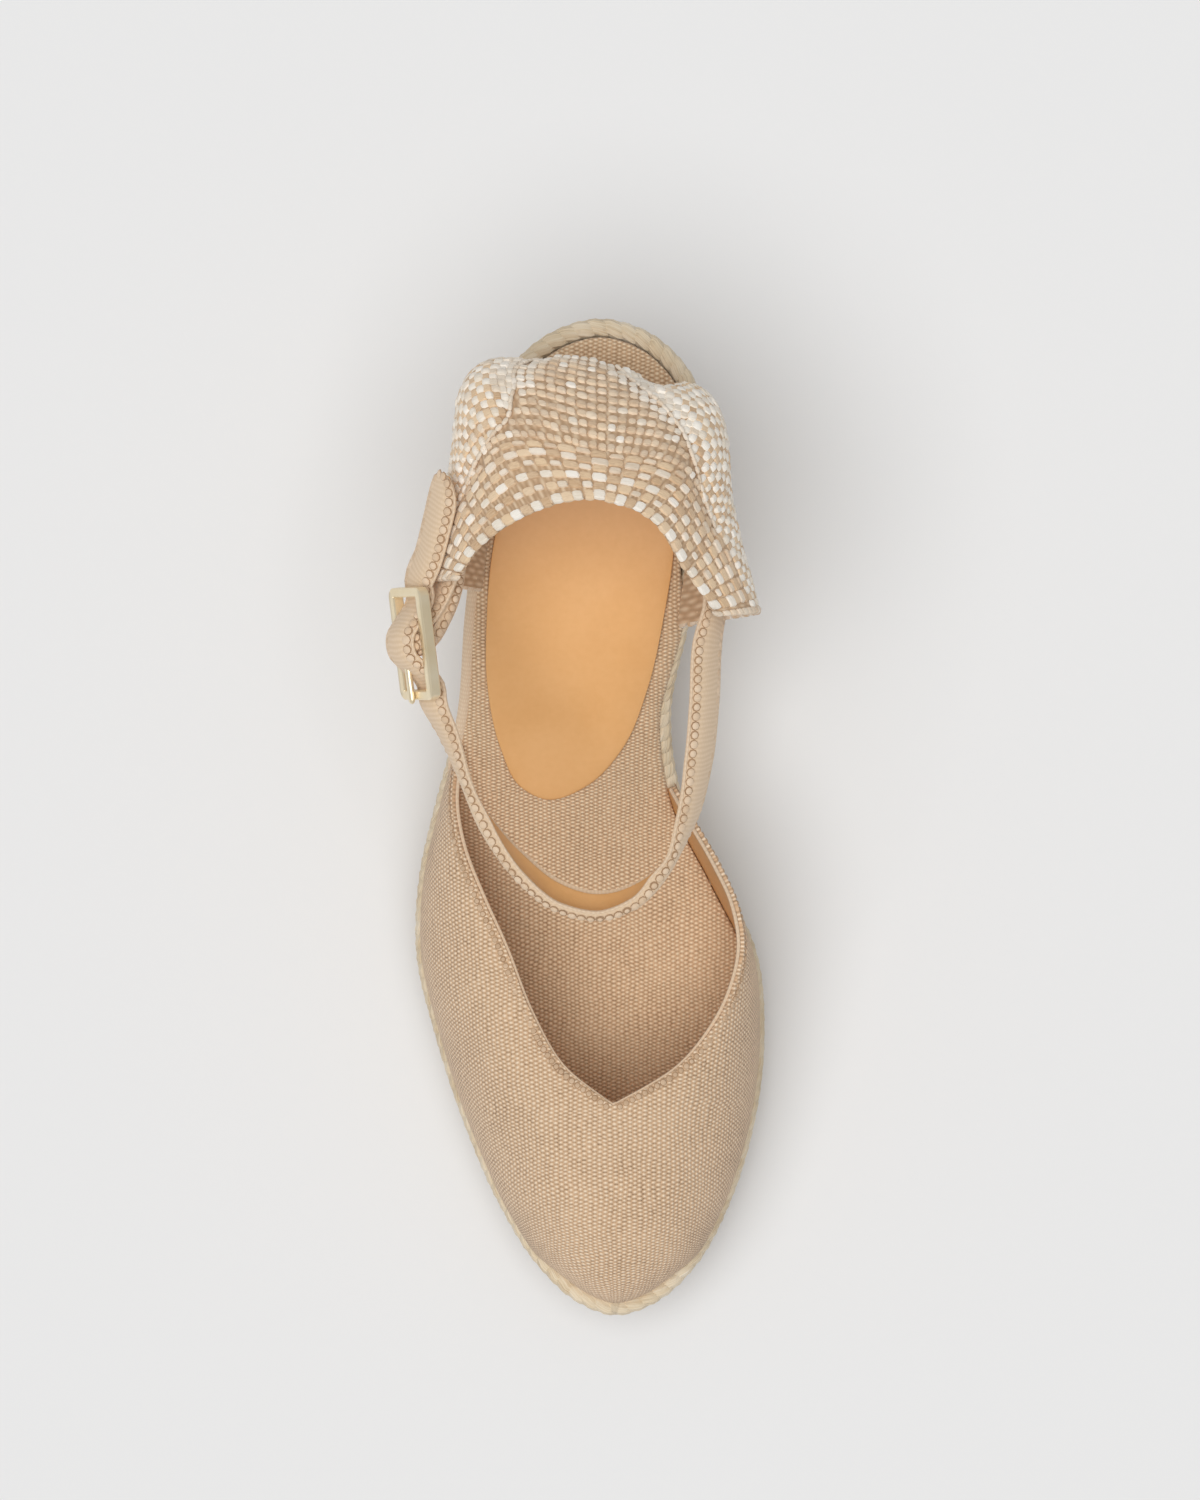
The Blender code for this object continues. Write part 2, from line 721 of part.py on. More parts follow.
def ribbon(stations, width, thickness):
    """Closed strip of rectangular section through the stations."""
    shape = bmesh.new()
    rings = []
    for k, (place, up) in enumerate(stations):
        run = stations[min(k + 1, len(stations) - 1)][0] - stations[max(k - 1, 0)][0]
        up = (up - run.normalized() * up.dot(run.normalized())).normalized()
        out = run.cross(up).normalized()
        half_width, half_wall = up * (width / 2), out * (thickness / 2)
        corners = (
            half_width + half_wall,
            half_width - half_wall,
            -half_width - half_wall,
            half_wall - half_width,
        )
        rings.append([shape.verts.new(place + corner) for corner in corners])
    for near, far in zip(rings, rings[1:]):
        for k in range(4):
            shape.faces.new((near[k], near[(k + 1) % 4], far[(k + 1) % 4], far[k]))
    shape.faces.new(rings[0])
    shape.faces.new(reversed(rings[-1]))
    bmesh.ops.recalc_face_normals(shape, faces=shape.faces)
    return shape


def cutter_cylinder(name, radius, length, matrix, cutters):
    """Hidden round cutter, its axis along the matrix's z."""
    shape = bmesh.new()
    bmesh.ops.create_cone(
        shape, cap_ends=True, segments=16, radius1=radius, radius2=radius, depth=length
    )
    made = mesh_object(name, shape, cutters)
    made.matrix_world = matrix
    made.hide_render = True
    made.display_type = "WIRE"
    return made


def cut(obj, cutter):
    hole = obj.modifiers.new(cutter.name, "BOOLEAN")
    hole.operation = "DIFFERENCE"
    hole.object = cutter


def prong_eye():
    """Radius of the prong's middle where it wraps the centre bar."""
    return BUCKLE_CENTRE_BAR * BAR_CORNER + GAP + PRONG_RADIUS


def prong_ends():
    """Where the prong leaves its eye on the centre bar, and its tip over the toe end bar."""
    rest = BUCKLE_THICKNESS / 2 + GAP + PRONG_RADIUS
    return at_buckle(PRONG_LEAVES, prong_eye()), at_buckle(PRONG_TIP, rest)


def build_strap(parts, cutters):
    stations = even_stations(strap_stations(), STRAP_STEP)
    strap = mesh_object("ankle_strap", ribbon(stations, STRAP_WIDTH, STRAP_THICKNESS), parts, "canvas")
    start, tip = prong_ends()
    middle = start.lerp(tip, 0.5)
    turn = (tip - start).to_track_quat("Z", "Y").to_matrix().to_4x4()
    hole_place = Matrix.Translation(middle * MM) @ turn
    cut(strap, cutter_cylinder("prong_hole", PRONG_HOLE, (tip - start).length, hole_place, cutters))
    bar_axis = buckle_matrix() @ Matrix.Rotation(math.radians(90), 4, "Y")
    slot_radius = strap_round_bar() + STRAP_THICKNESS / 2 + PRONG_SLOT_ROOM
    cut(strap, cutter_cylinder("prong_slot", slot_radius, PRONG_SLOT, bar_axis, cutters))


def block(name, size, matrix, collection, material=None):
    """Box of this size in millimetres, centred on the matrix."""
    bpy.ops.mesh.primitive_cube_add(size=1.0)
    made = bpy.context.object
    made.name = made.data.name = name
    made.data.transform(Matrix.Diagonal((*(side * MM for side in size), 1.0)))
    made.matrix_world = matrix
    for home in made.users_collection:
        home.objects.unlink(made)
    collection.objects.link(made)
    if material:
        made.data.materials.append(material_for(material))
    return made


def build_buckle(parts, cutters):
    place = buckle_matrix()
    frame = block("buckle_frame", (BUCKLE_WIDTH, BUCKLE_LENGTH, BUCKLE_THICKNESS), place, parts, "metal")
    window = (BUCKLE_LENGTH - 2 * BUCKLE_END_BAR - BUCKLE_CENTRE_BAR) / 2
    size = (BUCKLE_WIDTH - 2 * BUCKLE_SIDE_BAR, window, BUCKLE_THICKNESS * 3)
    for name, side in (("toe_window", -1), ("heel_window", 1)):
        shift = Matrix.Translation((0, side * (window + BUCKLE_CENTRE_BAR) / 2 * MM, 0))
        hole = block(name, size, place @ shift, cutters)
        hole.hide_render = True
        hole.display_type = "WIRE"
        cut(frame, hole)
    rounding = frame.modifiers.new("edges", "BEVEL")
    rounding.width = BUCKLE_BEVEL * MM
    rounding.segments = 2


def build_prong(parts):
    eye = prong_eye()
    start, tip = prong_ends()
    turns = [1 - k / PRONG_TURNS for k in range(PRONG_TURNS + 1)]
    wrap = [math.radians(90 - PRONG_WRAP * turn) for turn in turns]
    path = [at_buckle(eye * math.cos(angle), eye * math.sin(angle)) for angle in wrap]
    path += [start.lerp(tip, share) for share in (0.12, 0.5, 1.0)]
    tube("buckle_prong", path, PRONG_RADIUS, 8, parts, "metal")


def new_collection(name):
    made = bpy.data.collections.new(name)
    bpy.context.scene.collection.children.link(made)
    return made


def main():
    for old in list(bpy.data.objects):
        bpy.data.objects.remove(old)
    parts = new_collection("wedge_espadrille")
    cutters = new_collection("cutters")
    build_outsole(parts)
    build_wedge(parts)
    build_rim(parts)
    build_insole(parts)
    build_heel_pad(parts)
    build_vamp(parts)
    build_heel_band(parts)
    build_strap(parts, cutters)
    build_buckle(parts, cutters)
    build_prong(parts)


main()
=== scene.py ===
import math

import bpy
import numpy as np
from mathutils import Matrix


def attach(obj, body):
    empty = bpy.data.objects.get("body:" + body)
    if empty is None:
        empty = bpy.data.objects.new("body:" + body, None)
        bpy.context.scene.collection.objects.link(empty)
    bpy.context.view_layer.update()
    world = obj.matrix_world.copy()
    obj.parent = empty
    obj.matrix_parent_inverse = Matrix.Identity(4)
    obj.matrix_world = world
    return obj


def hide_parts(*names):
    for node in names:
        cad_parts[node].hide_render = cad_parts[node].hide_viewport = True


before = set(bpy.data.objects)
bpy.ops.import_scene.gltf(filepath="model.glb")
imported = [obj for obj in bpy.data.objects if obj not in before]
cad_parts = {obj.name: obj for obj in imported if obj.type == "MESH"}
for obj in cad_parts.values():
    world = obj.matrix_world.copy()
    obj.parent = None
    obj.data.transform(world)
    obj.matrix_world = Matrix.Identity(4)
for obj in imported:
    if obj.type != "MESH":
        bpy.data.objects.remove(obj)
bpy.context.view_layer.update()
chance = np.random.default_rng(7)
mm = 0.001  # sizes are in millimetres until a mesh is made
print("frame loaded")

# The sole's own lines, as in the CAD: x grows towards the inner side of the foot, y towards the heel
soleShape = {
    "toe": (3.4, -133.5, -1.0),  # x, y, draft
    "heel": (0.0, 98.3, -1.8),
    "plan": (  # y, lateral x, medial x, lateral draft, medial draft
        (95.0, -11.5, 11.5, -1.8, -1.8),
        (87.0, -20.5, 20.0, -1.6, -1.6),
        (72.0, -25.8, 25.2, -1.4, -1.2),
        (52.0, -28.4, 24.4, -1.2, -0.4),
        (30.0, -31.0, 20.6, -1.0, 0.2),
        (8.0, -33.0, 16.4, -0.8, 0.4),
        (-12.0, -38.4, 19.5, -0.8, 0.2),
        (-30.0, -42.6, 28.5, -0.8, -0.2),
        (-48.0, -43.4, 37.0, -0.8, -0.6),
        (-68.0, -38.9, 38.9, -0.8, -0.8),
        (-90.0, -31.6, 36.2, -0.8, -0.8),
        (-108.0, -23.6, 30.4, -0.8, -0.8),
        (-122.0, -14.6, 22.6, -0.8, -0.8),
        (-130.5, -5.2, 13.2, -0.9, -0.9),
    ),
    "footbed": (  # y, height
        (98.3, 80.0), (80.0, 79.0), (60.0, 75.5), (40.0, 69.0), (20.0, 59.0), (0.0, 47.0), (-20.0, 35.6),
        (-40.0, 27.2), (-60.0, 23.2), (-80.0, 22.4), (-100.0, 23.6), (-120.0, 26.6), (-133.5, 29.6),
    ),
    "ballY": -60.0,
    "toeSpring": 10.2,
    "springPower": 1.8,
    "outsole": 3.0,
    "gap": 0.35,
    "rimRadius": 3.2,
    "rimDrop": 1.4,
    "steps": 12,
}


def spanCurve(before, start, end, after, shares):
    span = np.linalg.norm(end - start)
    if span == 0:
        return np.repeat(start[None], len(shares), 0)
    lead = np.linalg.norm(start - before) or span
    trail = np.linalg.norm(after - end) or span
    leave = ((start - before) * (span / lead) + (end - start) * (lead / span)) / (lead + span) * span
    arrive = ((end - start) * (trail / span) + (after - end) * (span / trail)) / (span + trail) * span
    t = shares[:, None]
    bend = start * (2 * t**3 - 3 * t**2 + 1) + end * (3 * t**2 - 2 * t**3)
    return bend + leave * (t**3 - 2 * t**2 + t) + arrive * (t**3 - t**2)


def smoothCurve(points, steps, closed=False):
    points = np.array(points, float)
    if closed:
        ends = np.vstack([points[-1:], points, points[:2]])
    else:
        ends = np.vstack([2 * points[:1] - points[1:2], points, 2 * points[-1:] - points[-2:-1]])
    shares = np.arange(steps) / steps
    runs = [spanCurve(*ends[i : i + 4], shares) for i in range(len(ends) - 3)]
    return np.vstack(runs if closed else [*runs, points[-1:]])


def lengths(path):
    return np.concatenate([[0.0], np.cumsum(np.linalg.norm(np.diff(path, axis=0), axis=1))])


def evenly(path, count):  # the same line with its points the same distance apart
    run = lengths(path)
    places = np.linspace(0, run[-1], count)
    return np.stack([np.interp(places, run, path[:, c]) for c in range(path.shape[1])], 1)


def tableValue(rows, where):
    places, values = np.array(sorted(rows)).T
    last = len(places) - 1
    low, high = np.maximum(np.arange(last + 1) - 1, 0), np.minimum(np.arange(last + 1) + 1, last)
    slopes = (values[high] - values[low]) / (places[high] - places[low])
    where = np.clip(where, places[0], places[-1])
    i = np.clip(np.searchsorted(places, where) - 1, 0, last - 1)
    span = places[i + 1] - places[i]
    t = (where - places[i]) / span
    bend = values[i] * (2 * t**3 - 3 * t**2 + 1) + values[i + 1] * (3 * t**2 - 2 * t**3)
    return bend + span * (slopes[i] * (t**3 - 2 * t**2 + t) + slopes[i + 1] * (t**3 - t**2))


def footbed(y):
    return tableValue(soleShape["footbed"], y)


def belowFootbed(y, depth):
    slope = footbed(y + 0.5) - footbed(y - 0.5)
    return footbed(y) - depth * np.sqrt(1 + slope**2)


def tread(y):
    ahead = np.maximum(soleShape["ballY"] - y, 0) / (soleShape["ballY"] - soleShape["toe"][1])
    return soleShape["toeSpring"] * ahead ** soleShape["springPower"]


def unit(vectors):
    return vectors / np.maximum(np.linalg.norm(vectors, axis=-1, keepdims=True), 1e-9)


def planNormals(plan):  # away from the foot, on a line that runs toe, lateral side, heel, medial side
    run = np.roll(plan, -1, 0) - np.roll(plan, 1, 0)
    return unit(np.stack([-run[:, 1], run[:, 0]], 1))


def closedPlan(rows, heel, toe, steps):
    lateral = [(row[1], row[0], row[3]) for row in reversed(rows)]
    medial = [(row[2], row[0], row[4]) for row in rows]
    return smoothCurve([toe, *lateral, heel, *medial], steps, closed=True)


edge = closedPlan(soleShape["plan"], soleShape["heel"], soleShape["toe"], soleShape["steps"])
edgeOut = planNormals(edge)


def softStep(value, low, high):
    t = np.clip((value - low) / (high - low), 0, 1)
    return t * t * (3 - 2 * t)


# Mesh making

def newMesh(name, points, faces, uv=None):
    mesh = bpy.data.meshes.new(name)
    mesh.from_pydata((np.asarray(points) * mm).tolist(), [], faces)
    if uv is not None:
        layer = mesh.uv_layers.new(name="UVMap")
        corners = np.zeros(len(mesh.loops), np.int64)
        mesh.loops.foreach_get("vertex_index", corners)
        layer.data.foreach_set("uv", np.asarray(uv, np.float32)[corners].ravel())
    piece = bpy.data.objects.new(name, mesh)
    bpy.context.scene.collection.objects.link(piece)
    return piece


def pick(piece):
    bpy.ops.object.select_all(action="DESELECT")
    piece.select_set(True)
    bpy.context.view_layer.objects.active = piece


def gridPiece(name, points, uv, merge=0.0, flip=False):
    # a grid primitive whose points take their places on a form
    columns, rows = points.shape[:2]
    bpy.ops.object.select_all(action="DESELECT")
    bpy.ops.mesh.primitive_grid_add(x_subdivisions=columns - 1, y_subdivisions=rows - 1, size=2)
    piece = bpy.context.object
    piece.name = piece.data.name = name
    flat = np.zeros(len(piece.data.vertices) * 3)
    piece.data.vertices.foreach_get("co", flat)
    flat = flat.reshape(-1, 3)
    i = np.rint((flat[:, 0] + 1) / 2 * (columns - 1)).astype(int)
    j = np.rint((flat[:, 1] + 1) / 2 * (rows - 1)).astype(int)
    piece.data.vertices.foreach_set("co", (points[i, j] * mm).ravel())
    corners = np.zeros(len(piece.data.loops), np.int64)
    piece.data.loops.foreach_get("vertex_index", corners)
    piece.data.uv_layers[0].data.foreach_set("uv", uv[i, j][corners].astype(np.float32).ravel())
    piece.data.update()
    bpy.ops.object.mode_set(mode="EDIT")
    bpy.ops.mesh.select_all(action="SELECT")
    if merge:
        bpy.ops.mesh.remove_doubles(threshold=merge * mm)
    if flip:
        bpy.ops.mesh.flip_normals()
    bpy.ops.object.mode_set(mode="OBJECT")
    return piece


def useModifier(piece, kind, **settings):
    pick(piece)
    modifier = piece.modifiers.new(kind.lower(), kind)
    for name, value in settings.items():
        setattr(modifier, name, value)
    bpy.ops.object.modifier_apply(modifier=modifier.name)


def wall(piece, thickness, rounding=0.0):
    useModifier(piece, "SOLIDIFY", thickness=thickness * mm, offset=-1.0, use_quality_normals=True)
    if rounding:
        corners = {"limit_method": "ANGLE", "angle_limit": math.radians(50)}
        useModifier(piece, "BEVEL", width=rounding * mm, segments=2, **corners)


def finishPiece(piece, material, slotName, *nodes):
    piece.data.materials.clear()
    piece.data.materials.append(material)
    pick(piece)
    bpy.ops.object.shade_smooth_by_angle(angle=math.radians(40))
    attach(piece, "root")
    if nodes:
        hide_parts(*nodes)


def ringFaces(count, sides, closed):  # faces between rings of points, with both ends shut on an open form
    faces = []
    for k in range(count if closed else count - 1):
        near, far = k * sides, (k + 1) % count * sides
        faces += [(near + s, near + (s + 1) % sides, far + (s + 1) % sides, far + s) for s in range(sides)]
    if not closed:
        faces += [tuple(range(sides))[::-1], tuple(range((count - 1) * sides, count * sides))]
    return faces


def tube(path, sideways, upwards, halfWide, halfHigh, sides, closed=False):
    # points, faces and lengthwise map of a strand whose section is an ellipse
    count = len(path)
    turn = np.linspace(0, 2 * math.pi, sides, endpoint=False)
    wide = np.broadcast_to(np.asarray(halfWide, float), count)
    high = np.broadcast_to(np.asarray(halfHigh, float), count)
    points = (
        path[:, None]
        + sideways[:, None] * (np.cos(turn)[None, :, None] * wide[:, None, None])
        + upwards[:, None] * (np.sin(turn)[None, :, None] * high[:, None, None])
    ).reshape(-1, 3)
    run = lengths(path)
    girth = math.pi * float(np.mean(wide) + np.mean(high))
    uv = np.stack([np.repeat(run, sides), np.tile(np.abs(turn / math.pi - 1) * girth, count)], 1)
    return points, ringFaces(count, sides, closed), uv


def levelTube(line, halfWide, halfHigh, sides):  # a strand that lies level across its run
    run = unit(np.gradient(line, axis=0))
    side = unit(np.cross(run, (0.0, 0.0, 1.0)))
    return tube(line, side, unit(np.cross(side, run)), halfWide, halfHigh, sides)


def joined(shapes):
    points, faces, maps, start = [], [], [], 0
    for shape, its, uv in shapes:
        points.append(shape)
        maps.append(uv)
        faces += [tuple(c + start for c in face) for face in its]
        start += len(shape)
    return np.vstack(points), faces, np.vstack(maps)


def lump(squareness, rings):  # small closed pillow of unit half-size: its points and faces
    sides = 8
    turn = np.arange(sides) / sides * 2 * math.pi
    reach = (np.abs(np.cos(turn)) ** squareness + np.abs(np.sin(turn)) ** squareness) ** (-1 / squareness)
    ring = np.stack([np.cos(turn) * reach, np.sin(turn) * reach], 1)
    points = [(0.0, 0.0, -1.0)]
    for height, share in rings:
        points += [(x * share, y * share, height) for x, y in ring]
    points.append((0.0, 0.0, 1.0))
    faces = [(0, 1 + (s + 1) % sides, 1 + s) for s in range(sides)]
    for level in range(len(rings) - 1):
        low, high = 1 + level * sides, 1 + (level + 1) * sides
        faces += [(low + s, low + (s + 1) % sides, high + (s + 1) % sides, high + s) for s in range(sides)]
    top, crown = 1 + (len(rings) - 1) * sides, len(points) - 1
    faces += [(top + s, top + (s + 1) % sides, crown) for s in range(sides)]
    return np.array(points), faces


def scatter(shape, places, right, ahead, out, sizes):  # one copy of a small shape at each place
    points, faces = shape
    size = np.asarray(sizes, float)
    spread = (
        places[:, None]
        + right[:, None] * (points[None, :, 0:1] * size[:, None, 0:1])
        + ahead[:, None] * (points[None, :, 1:2] * size[:, None, 1:2])
        + out[:, None] * (points[None, :, 2:3] * size[:, None, 2:3])
    ).reshape(-1, 3)
    grown = np.arange(len(places))[:, None] * len(points)
    allFaces = [tuple(c + start for c in face) for start in grown[:, 0] for face in faces]
    flat = points[None, :, :2] * size[:, None, :2] + grown[:, :, None] * 0.37
    return spread, allFaces, flat.reshape(-1, 2)


def pointValues(piece, name, values):
    layer = piece.data.attributes.new(name, "FLOAT", "POINT")
    layer.data.foreach_set("value", np.asarray(values, np.float32))


# Materials

def linear(hexColour):
    parts = [int(hexColour[i : i + 2], 16) / 255 for i in (1, 3, 5)]
    return (*(c / 12.92 if c <= 0.04045 else ((c + 0.055) / 1.055) ** 2.4 for c in parts), 1.0)


def addNode(tree, kind, inputs=None, give=0, **settings):
    node = tree.nodes.new("ShaderNode" + kind)
    for name, value in settings.items():
        setattr(node, name, value)
    for name, value in (inputs or {}).items():
        if isinstance(value, bpy.types.NodeSocket):
            tree.links.new(value, node.inputs[name])
        else:
            node.inputs[name].default_value = value
    return node.outputs[give]


def maths(tree, operation, *values):
    return addNode(tree, "Math", dict(enumerate(values)), operation=operation)


def noise(tree, place, scale, detail, **settings):
    return addNode(tree, "TexNoise", {"Vector": place, "Scale": scale, "Detail": detail}, **settings)


def colourRamp(tree, value, *stops):  # each stop is a place along the ramp and its colour
    ramp = addNode(tree, "ValToRGB", {0: value}).node
    points = ramp.color_ramp.elements
    for end, (place, colour) in enumerate((stops[0], stops[-1])):
        points[end].position, points[end].color = place, linear(colour)
    for place, colour in stops[1:-1]:
        points.new(place).color = linear(colour)
    return ramp.outputs["Color"]


def pressed(tree, shader, height, strength, depth, **settings):  # fine relief, its depth in millimetres
    bump = addNode(tree, "Bump", {"Height": height, "Strength": strength, "Distance": depth * mm}, **settings)
    tree.links.new(bump, shader.inputs["Normal"])


def newMaterial(name, roughness, **sockets):
    material = bpy.data.materials.new(name)
    material.use_nodes = True
    shader = material.node_tree.nodes["Principled BSDF"]
    shader.inputs["Roughness"].default_value = roughness
    for socket, value in sockets.items():
        shader.inputs[socket.replace("_", " ")].default_value = value
    return material, material.node_tree, shader


def canvasMaterial(name, look):
    # cotton canvas, woven: short grains in columns, each half a grain off its neighbours; the dark pit colour
    # is painted shade between the grains and the light crest colour a painted highlight on their tops
    material, tree, shader = newMaterial(name, 0.92, Sheen_Weight=0.15, Sheen_Roughness=0.6)
    place = addNode(tree, "TexCoord", give="UV")  # the piece's own map, in millimetres
    wander = noise(tree, place, 0.12, 2.0, give="Color")
    wander = addNode(tree, "VectorMath", {0: wander, 1: (0.5, 0.5, 0.5)}, operation="SUBTRACT")
    wander = addNode(tree, "VectorMath", {0: wander, "Scale": 1.6}, operation="SCALE")
    bent = addNode(tree, "VectorMath", {0: place, 1: wander}, operation="ADD")
    axes = addNode(tree, "SeparateXYZ", {0: bent}, give="X").node
    across = maths(tree, "MULTIPLY", axes.outputs["X"], math.pi / look["column"])
    along = maths(tree, "MULTIPLY", axes.outputs["Y"], math.tau / look["grain"])
    grains = maths(tree, "MULTIPLY", maths(tree, "COSINE", across), maths(tree, "COSINE", along))
    columns = maths(tree, "COSINE", maths(tree, "MULTIPLY", across, 2.0))
    weave = maths(tree, "MULTIPLY_ADD", grains, look["grainShare"], 0.5)
    weave = maths(tree, "MULTIPLY_ADD", columns, 0.5 - look["grainShare"], weave)
    stretched = addNode(tree, "Mapping", {"Vector": place, "Scale": (0.9, 0.16, 1.0)})
    slub = noise(tree, stretched, 1.0, 3.0)
    patch, speck = noise(tree, place, 0.05, 2.0), noise(tree, place, 0.75, 3.0)
    tone = weave
    for marks, weight in ((slub, 0.22), (patch, 0.18), (speck, 0.30)):
        tone = maths(tree, "MULTIPLY_ADD", marks, weight, tone)
    tone = maths(tree, "SUBTRACT", tone, 0.35)
    # the weave's dark pits are painted shade and its light crests painted highlight; slubs, patches and
    # specks are the cloth's own tone
    stops = ((0.05, look["pitShade"]), (look["threadAt"], look["thread"]), (0.95, look["crest"]))
    tree.links.new(colourRamp(tree, tone, *stops), shader.inputs["Base Color"])
    pressed(tree, shader, maths(tree, "MULTIPLY_ADD", slub, 0.3, weave), 0.8, look["relief"])
    return material


def leatherMaterial(name, look):
    # vegetable-tanned leather, rolled smooth: a soft gloss, cloudy colour and a grain seen only close to
    material, tree, shader = newMaterial(name, 0.48, Coat_Weight=0.08, Coat_Roughness=0.35)
    place = addNode(tree, "TexCoord", give="Object")
    cloud, fleck = noise(tree, place, 1 / (22 * mm), 4.0), noise(tree, place, 1 / (1.6 * mm), 3.0)
    tone = maths(tree, "MULTIPLY_ADD", fleck, 0.35, cloud)
    colour = colourRamp(tree, tone, (0.40, look["dark"]), (0.95, look["light"]))
    tree.links.new(colour, shader.inputs["Base Color"])
    pores = addNode(tree, "TexVoronoi", {"Vector": place, "Scale": 1 / (0.7 * mm)}, feature="SMOOTH_F1")
    polish = addNode(tree, "MapRange", {0: cloud, 3: 0.42, 4: 0.56})
    tree.links.new(polish, shader.inputs["Roughness"])
    pressed(tree, shader, pores, 0.35, 0.05)
    return material


def strandMaterial(name, look):
    # spun plant fibre, plaited: dull, streaked along the twist, with pale and brown fibres side by side
    material, tree, shader = newMaterial(name, 0.88, Sheen_Weight=0.1, Sheen_Roughness=0.5)
    place = addNode(tree, "TexCoord", give="UV")
    twisted = addNode(tree, "Mapping", {"Vector": place, "Rotation": (0, 0, 0.42), "Scale": (0.22, 2.6, 1.0)})
    fibre = addNode(tree, "TexNoise", {"Vector": twisted, "Scale": 1.0, "Detail": 5.0, "Roughness": 0.65})
    tone = maths(tree, "MULTIPLY_ADD", noise(tree, place, 0.09, 2.0), 0.5, fibre)
    colour = colourRamp(tree, tone, (0.48, look["dark"]), (0.70, look["middle"]), (1.0, look["light"]))
    tree.links.new(colour, shader.inputs["Base Color"])
    pressed(tree, shader, fibre, 0.7, 0.35)
    return material


def bandYarnMaterial(name, look):
    # cotton and jute yarns in one cloth: tan twisted ones and bright bleached floats, picked by an attribute
    # the look holds the dark and the light colour of each
    material, tree, shader = newMaterial(name, 0.85, Sheen_Weight=0.15, Sheen_Roughness=0.5)
    place = addNode(tree, "TexCoord", give="UV")
    twisted = addNode(tree, "Mapping", {"Vector": place, "Rotation": (0, 0, 0.55), "Scale": (0.6, 3.2, 1.0)})
    fibre = addNode(tree, "TexNoise", {"Vector": twisted, "Scale": 1.0, "Detail": 4.0, "Roughness": 0.6})
    tone = addNode(tree, "Attribute", attribute_name="tone", give="Fac")
    shade = maths(tree, "MULTIPLY_ADD", tone, 0.55, fibre)
    tan, pale = (colourRamp(tree, shade, (0.35, dark), (0.95, light)) for dark, light in look)
    white = addNode(tree, "Attribute", attribute_name="white", give="Fac")
    mixed = addNode(tree, "MixRGB", {0: white, 1: tan, 2: pale})
    tree.links.new(mixed, shader.inputs["Base Color"])
    pressed(tree, shader, fibre, 0.6, 0.25)
    return material


def goldMaterial():
    # zinc casting plated in pale gold and polished: bright, with a faint haze that moves along the bars
    material, tree, shader = newMaterial("palePlatedGold", 0.34, Metallic=0.62)
    place = addNode(tree, "TexCoord", give="Object")
    colour = colourRamp(tree, noise(tree, place, 1 / (6.0 * mm), 2.0), (0.0, "#EAD6AC"), (1.0, "#FBEFD4"))
    tree.links.new(colour, shader.inputs["Base Color"])
    return material


def rubberMaterial():
    # crepe rubber sheet: matt and pebbled, with painted shade that makes it a little darker in its hollows
    material, tree, shader = newMaterial("crepeRubber", 0.78)
    place = addNode(tree, "TexCoord", give="Object")
    pebble = addNode(tree, "TexVoronoi", {"Vector": place, "Scale": 1 / (1.8 * mm)}, feature="SMOOTH_F1")
    tone = maths(tree, "MULTIPLY_ADD", pebble, 0.4, noise(tree, place, 1 / (12 * mm), 3.0))
    # the darker end of the ramp, driven by the pebbles, is painted shade in their hollows; the broad noise is
    # the rubber's own tone
    colour = colourRamp(tree, tone, (0.3, "#C7A877"), (1.0, "#9C7B4D"))
    tree.links.new(colour, shader.inputs["Base Color"])
    pressed(tree, shader, pebble, 0.5, 0.2, invert=True)
    return material


vampCanvas = canvasMaterial("cottonCanvas", {
    "column": 1.16, "grain": 1.0, "grainShare": 0.36, "relief": 0.5,
    "pitShade": "#4E341F", "thread": "#D3AF8A", "threadAt": 0.38, "crest": "#FAE3C6",
})
sockCanvas = canvasMaterial("heavyCottonCanvas", {
    "column": 1.08, "grain": 0.92, "grainShare": 0.36, "relief": 0.45,
    "pitShade": "#7E5D40", "thread": "#DAB690", "threadAt": 0.44, "crest": "#FBE4C2",
})
strapCanvas = canvasMaterial("ribbedCanvas", {
    "column": 1.08, "grain": 0.9, "grainShare": 0.15, "relief": 0.05,
    "pitShade": "#DEC2A0", "thread": "#E3C8A7", "threadAt": 0.45, "crest": "#E9CFB1",
})
bandCanvas = canvasMaterial("bandGroundCloth", {
    "column": 1.45, "grain": 3.3, "grainShare": 0.30, "relief": 0.3,
    "pitShade": "#A88664", "thread": "#C6A684", "threadAt": 0.45, "crest": "#DEC4A4",
})
padLeather = leatherMaterial("smoothTanLeather", {"dark": "#E3AB6C", "light": "#EDB87C"})
liningLeather = leatherMaterial("liningLeather", {"dark": "#DAA466", "light": "#E6B378"})
juteStrand = strandMaterial("plaitedJute", {"dark": "#AC9070", "middle": "#D8C09C", "light": "#EFDEC2"})
rimStrand = strandMaterial("paleJute", {"dark": "#AC9274", "middle": "#DFCBAA", "light": "#F6EBD8"})
bandYarn = bandYarnMaterial("wovenBandYarn", (("#C4A07A", "#EACDA8"), ("#EADDC8", "#FCF6EC")))
# its tan colours give the darker knots their tone and also paint the shade rings under the stitches
knotThreadAndShade = bandYarnMaterial("cottonThreadAndShade", (("#A07E5E", "#B49270"), ("#D6B896", "#EAD2B6")))
edgeTape = canvasMaterial("foldedCanvasEdge", {
    "column": 1.1, "grain": 0.8, "grainShare": 0.30, "relief": 0.05,
    "pitShade": "#D6BA9A", "thread": "#DEC4A6", "threadAt": 0.45, "crest": "#E6D0B6",
})
paleGold = goldMaterial()
crepeRubber = rubberMaterial()
print("materials made")


# Outsole: the CAD sheet in its rubber
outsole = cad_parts["outsole"]
outsole.data.materials.clear()
outsole.data.materials.append(crepeRubber)

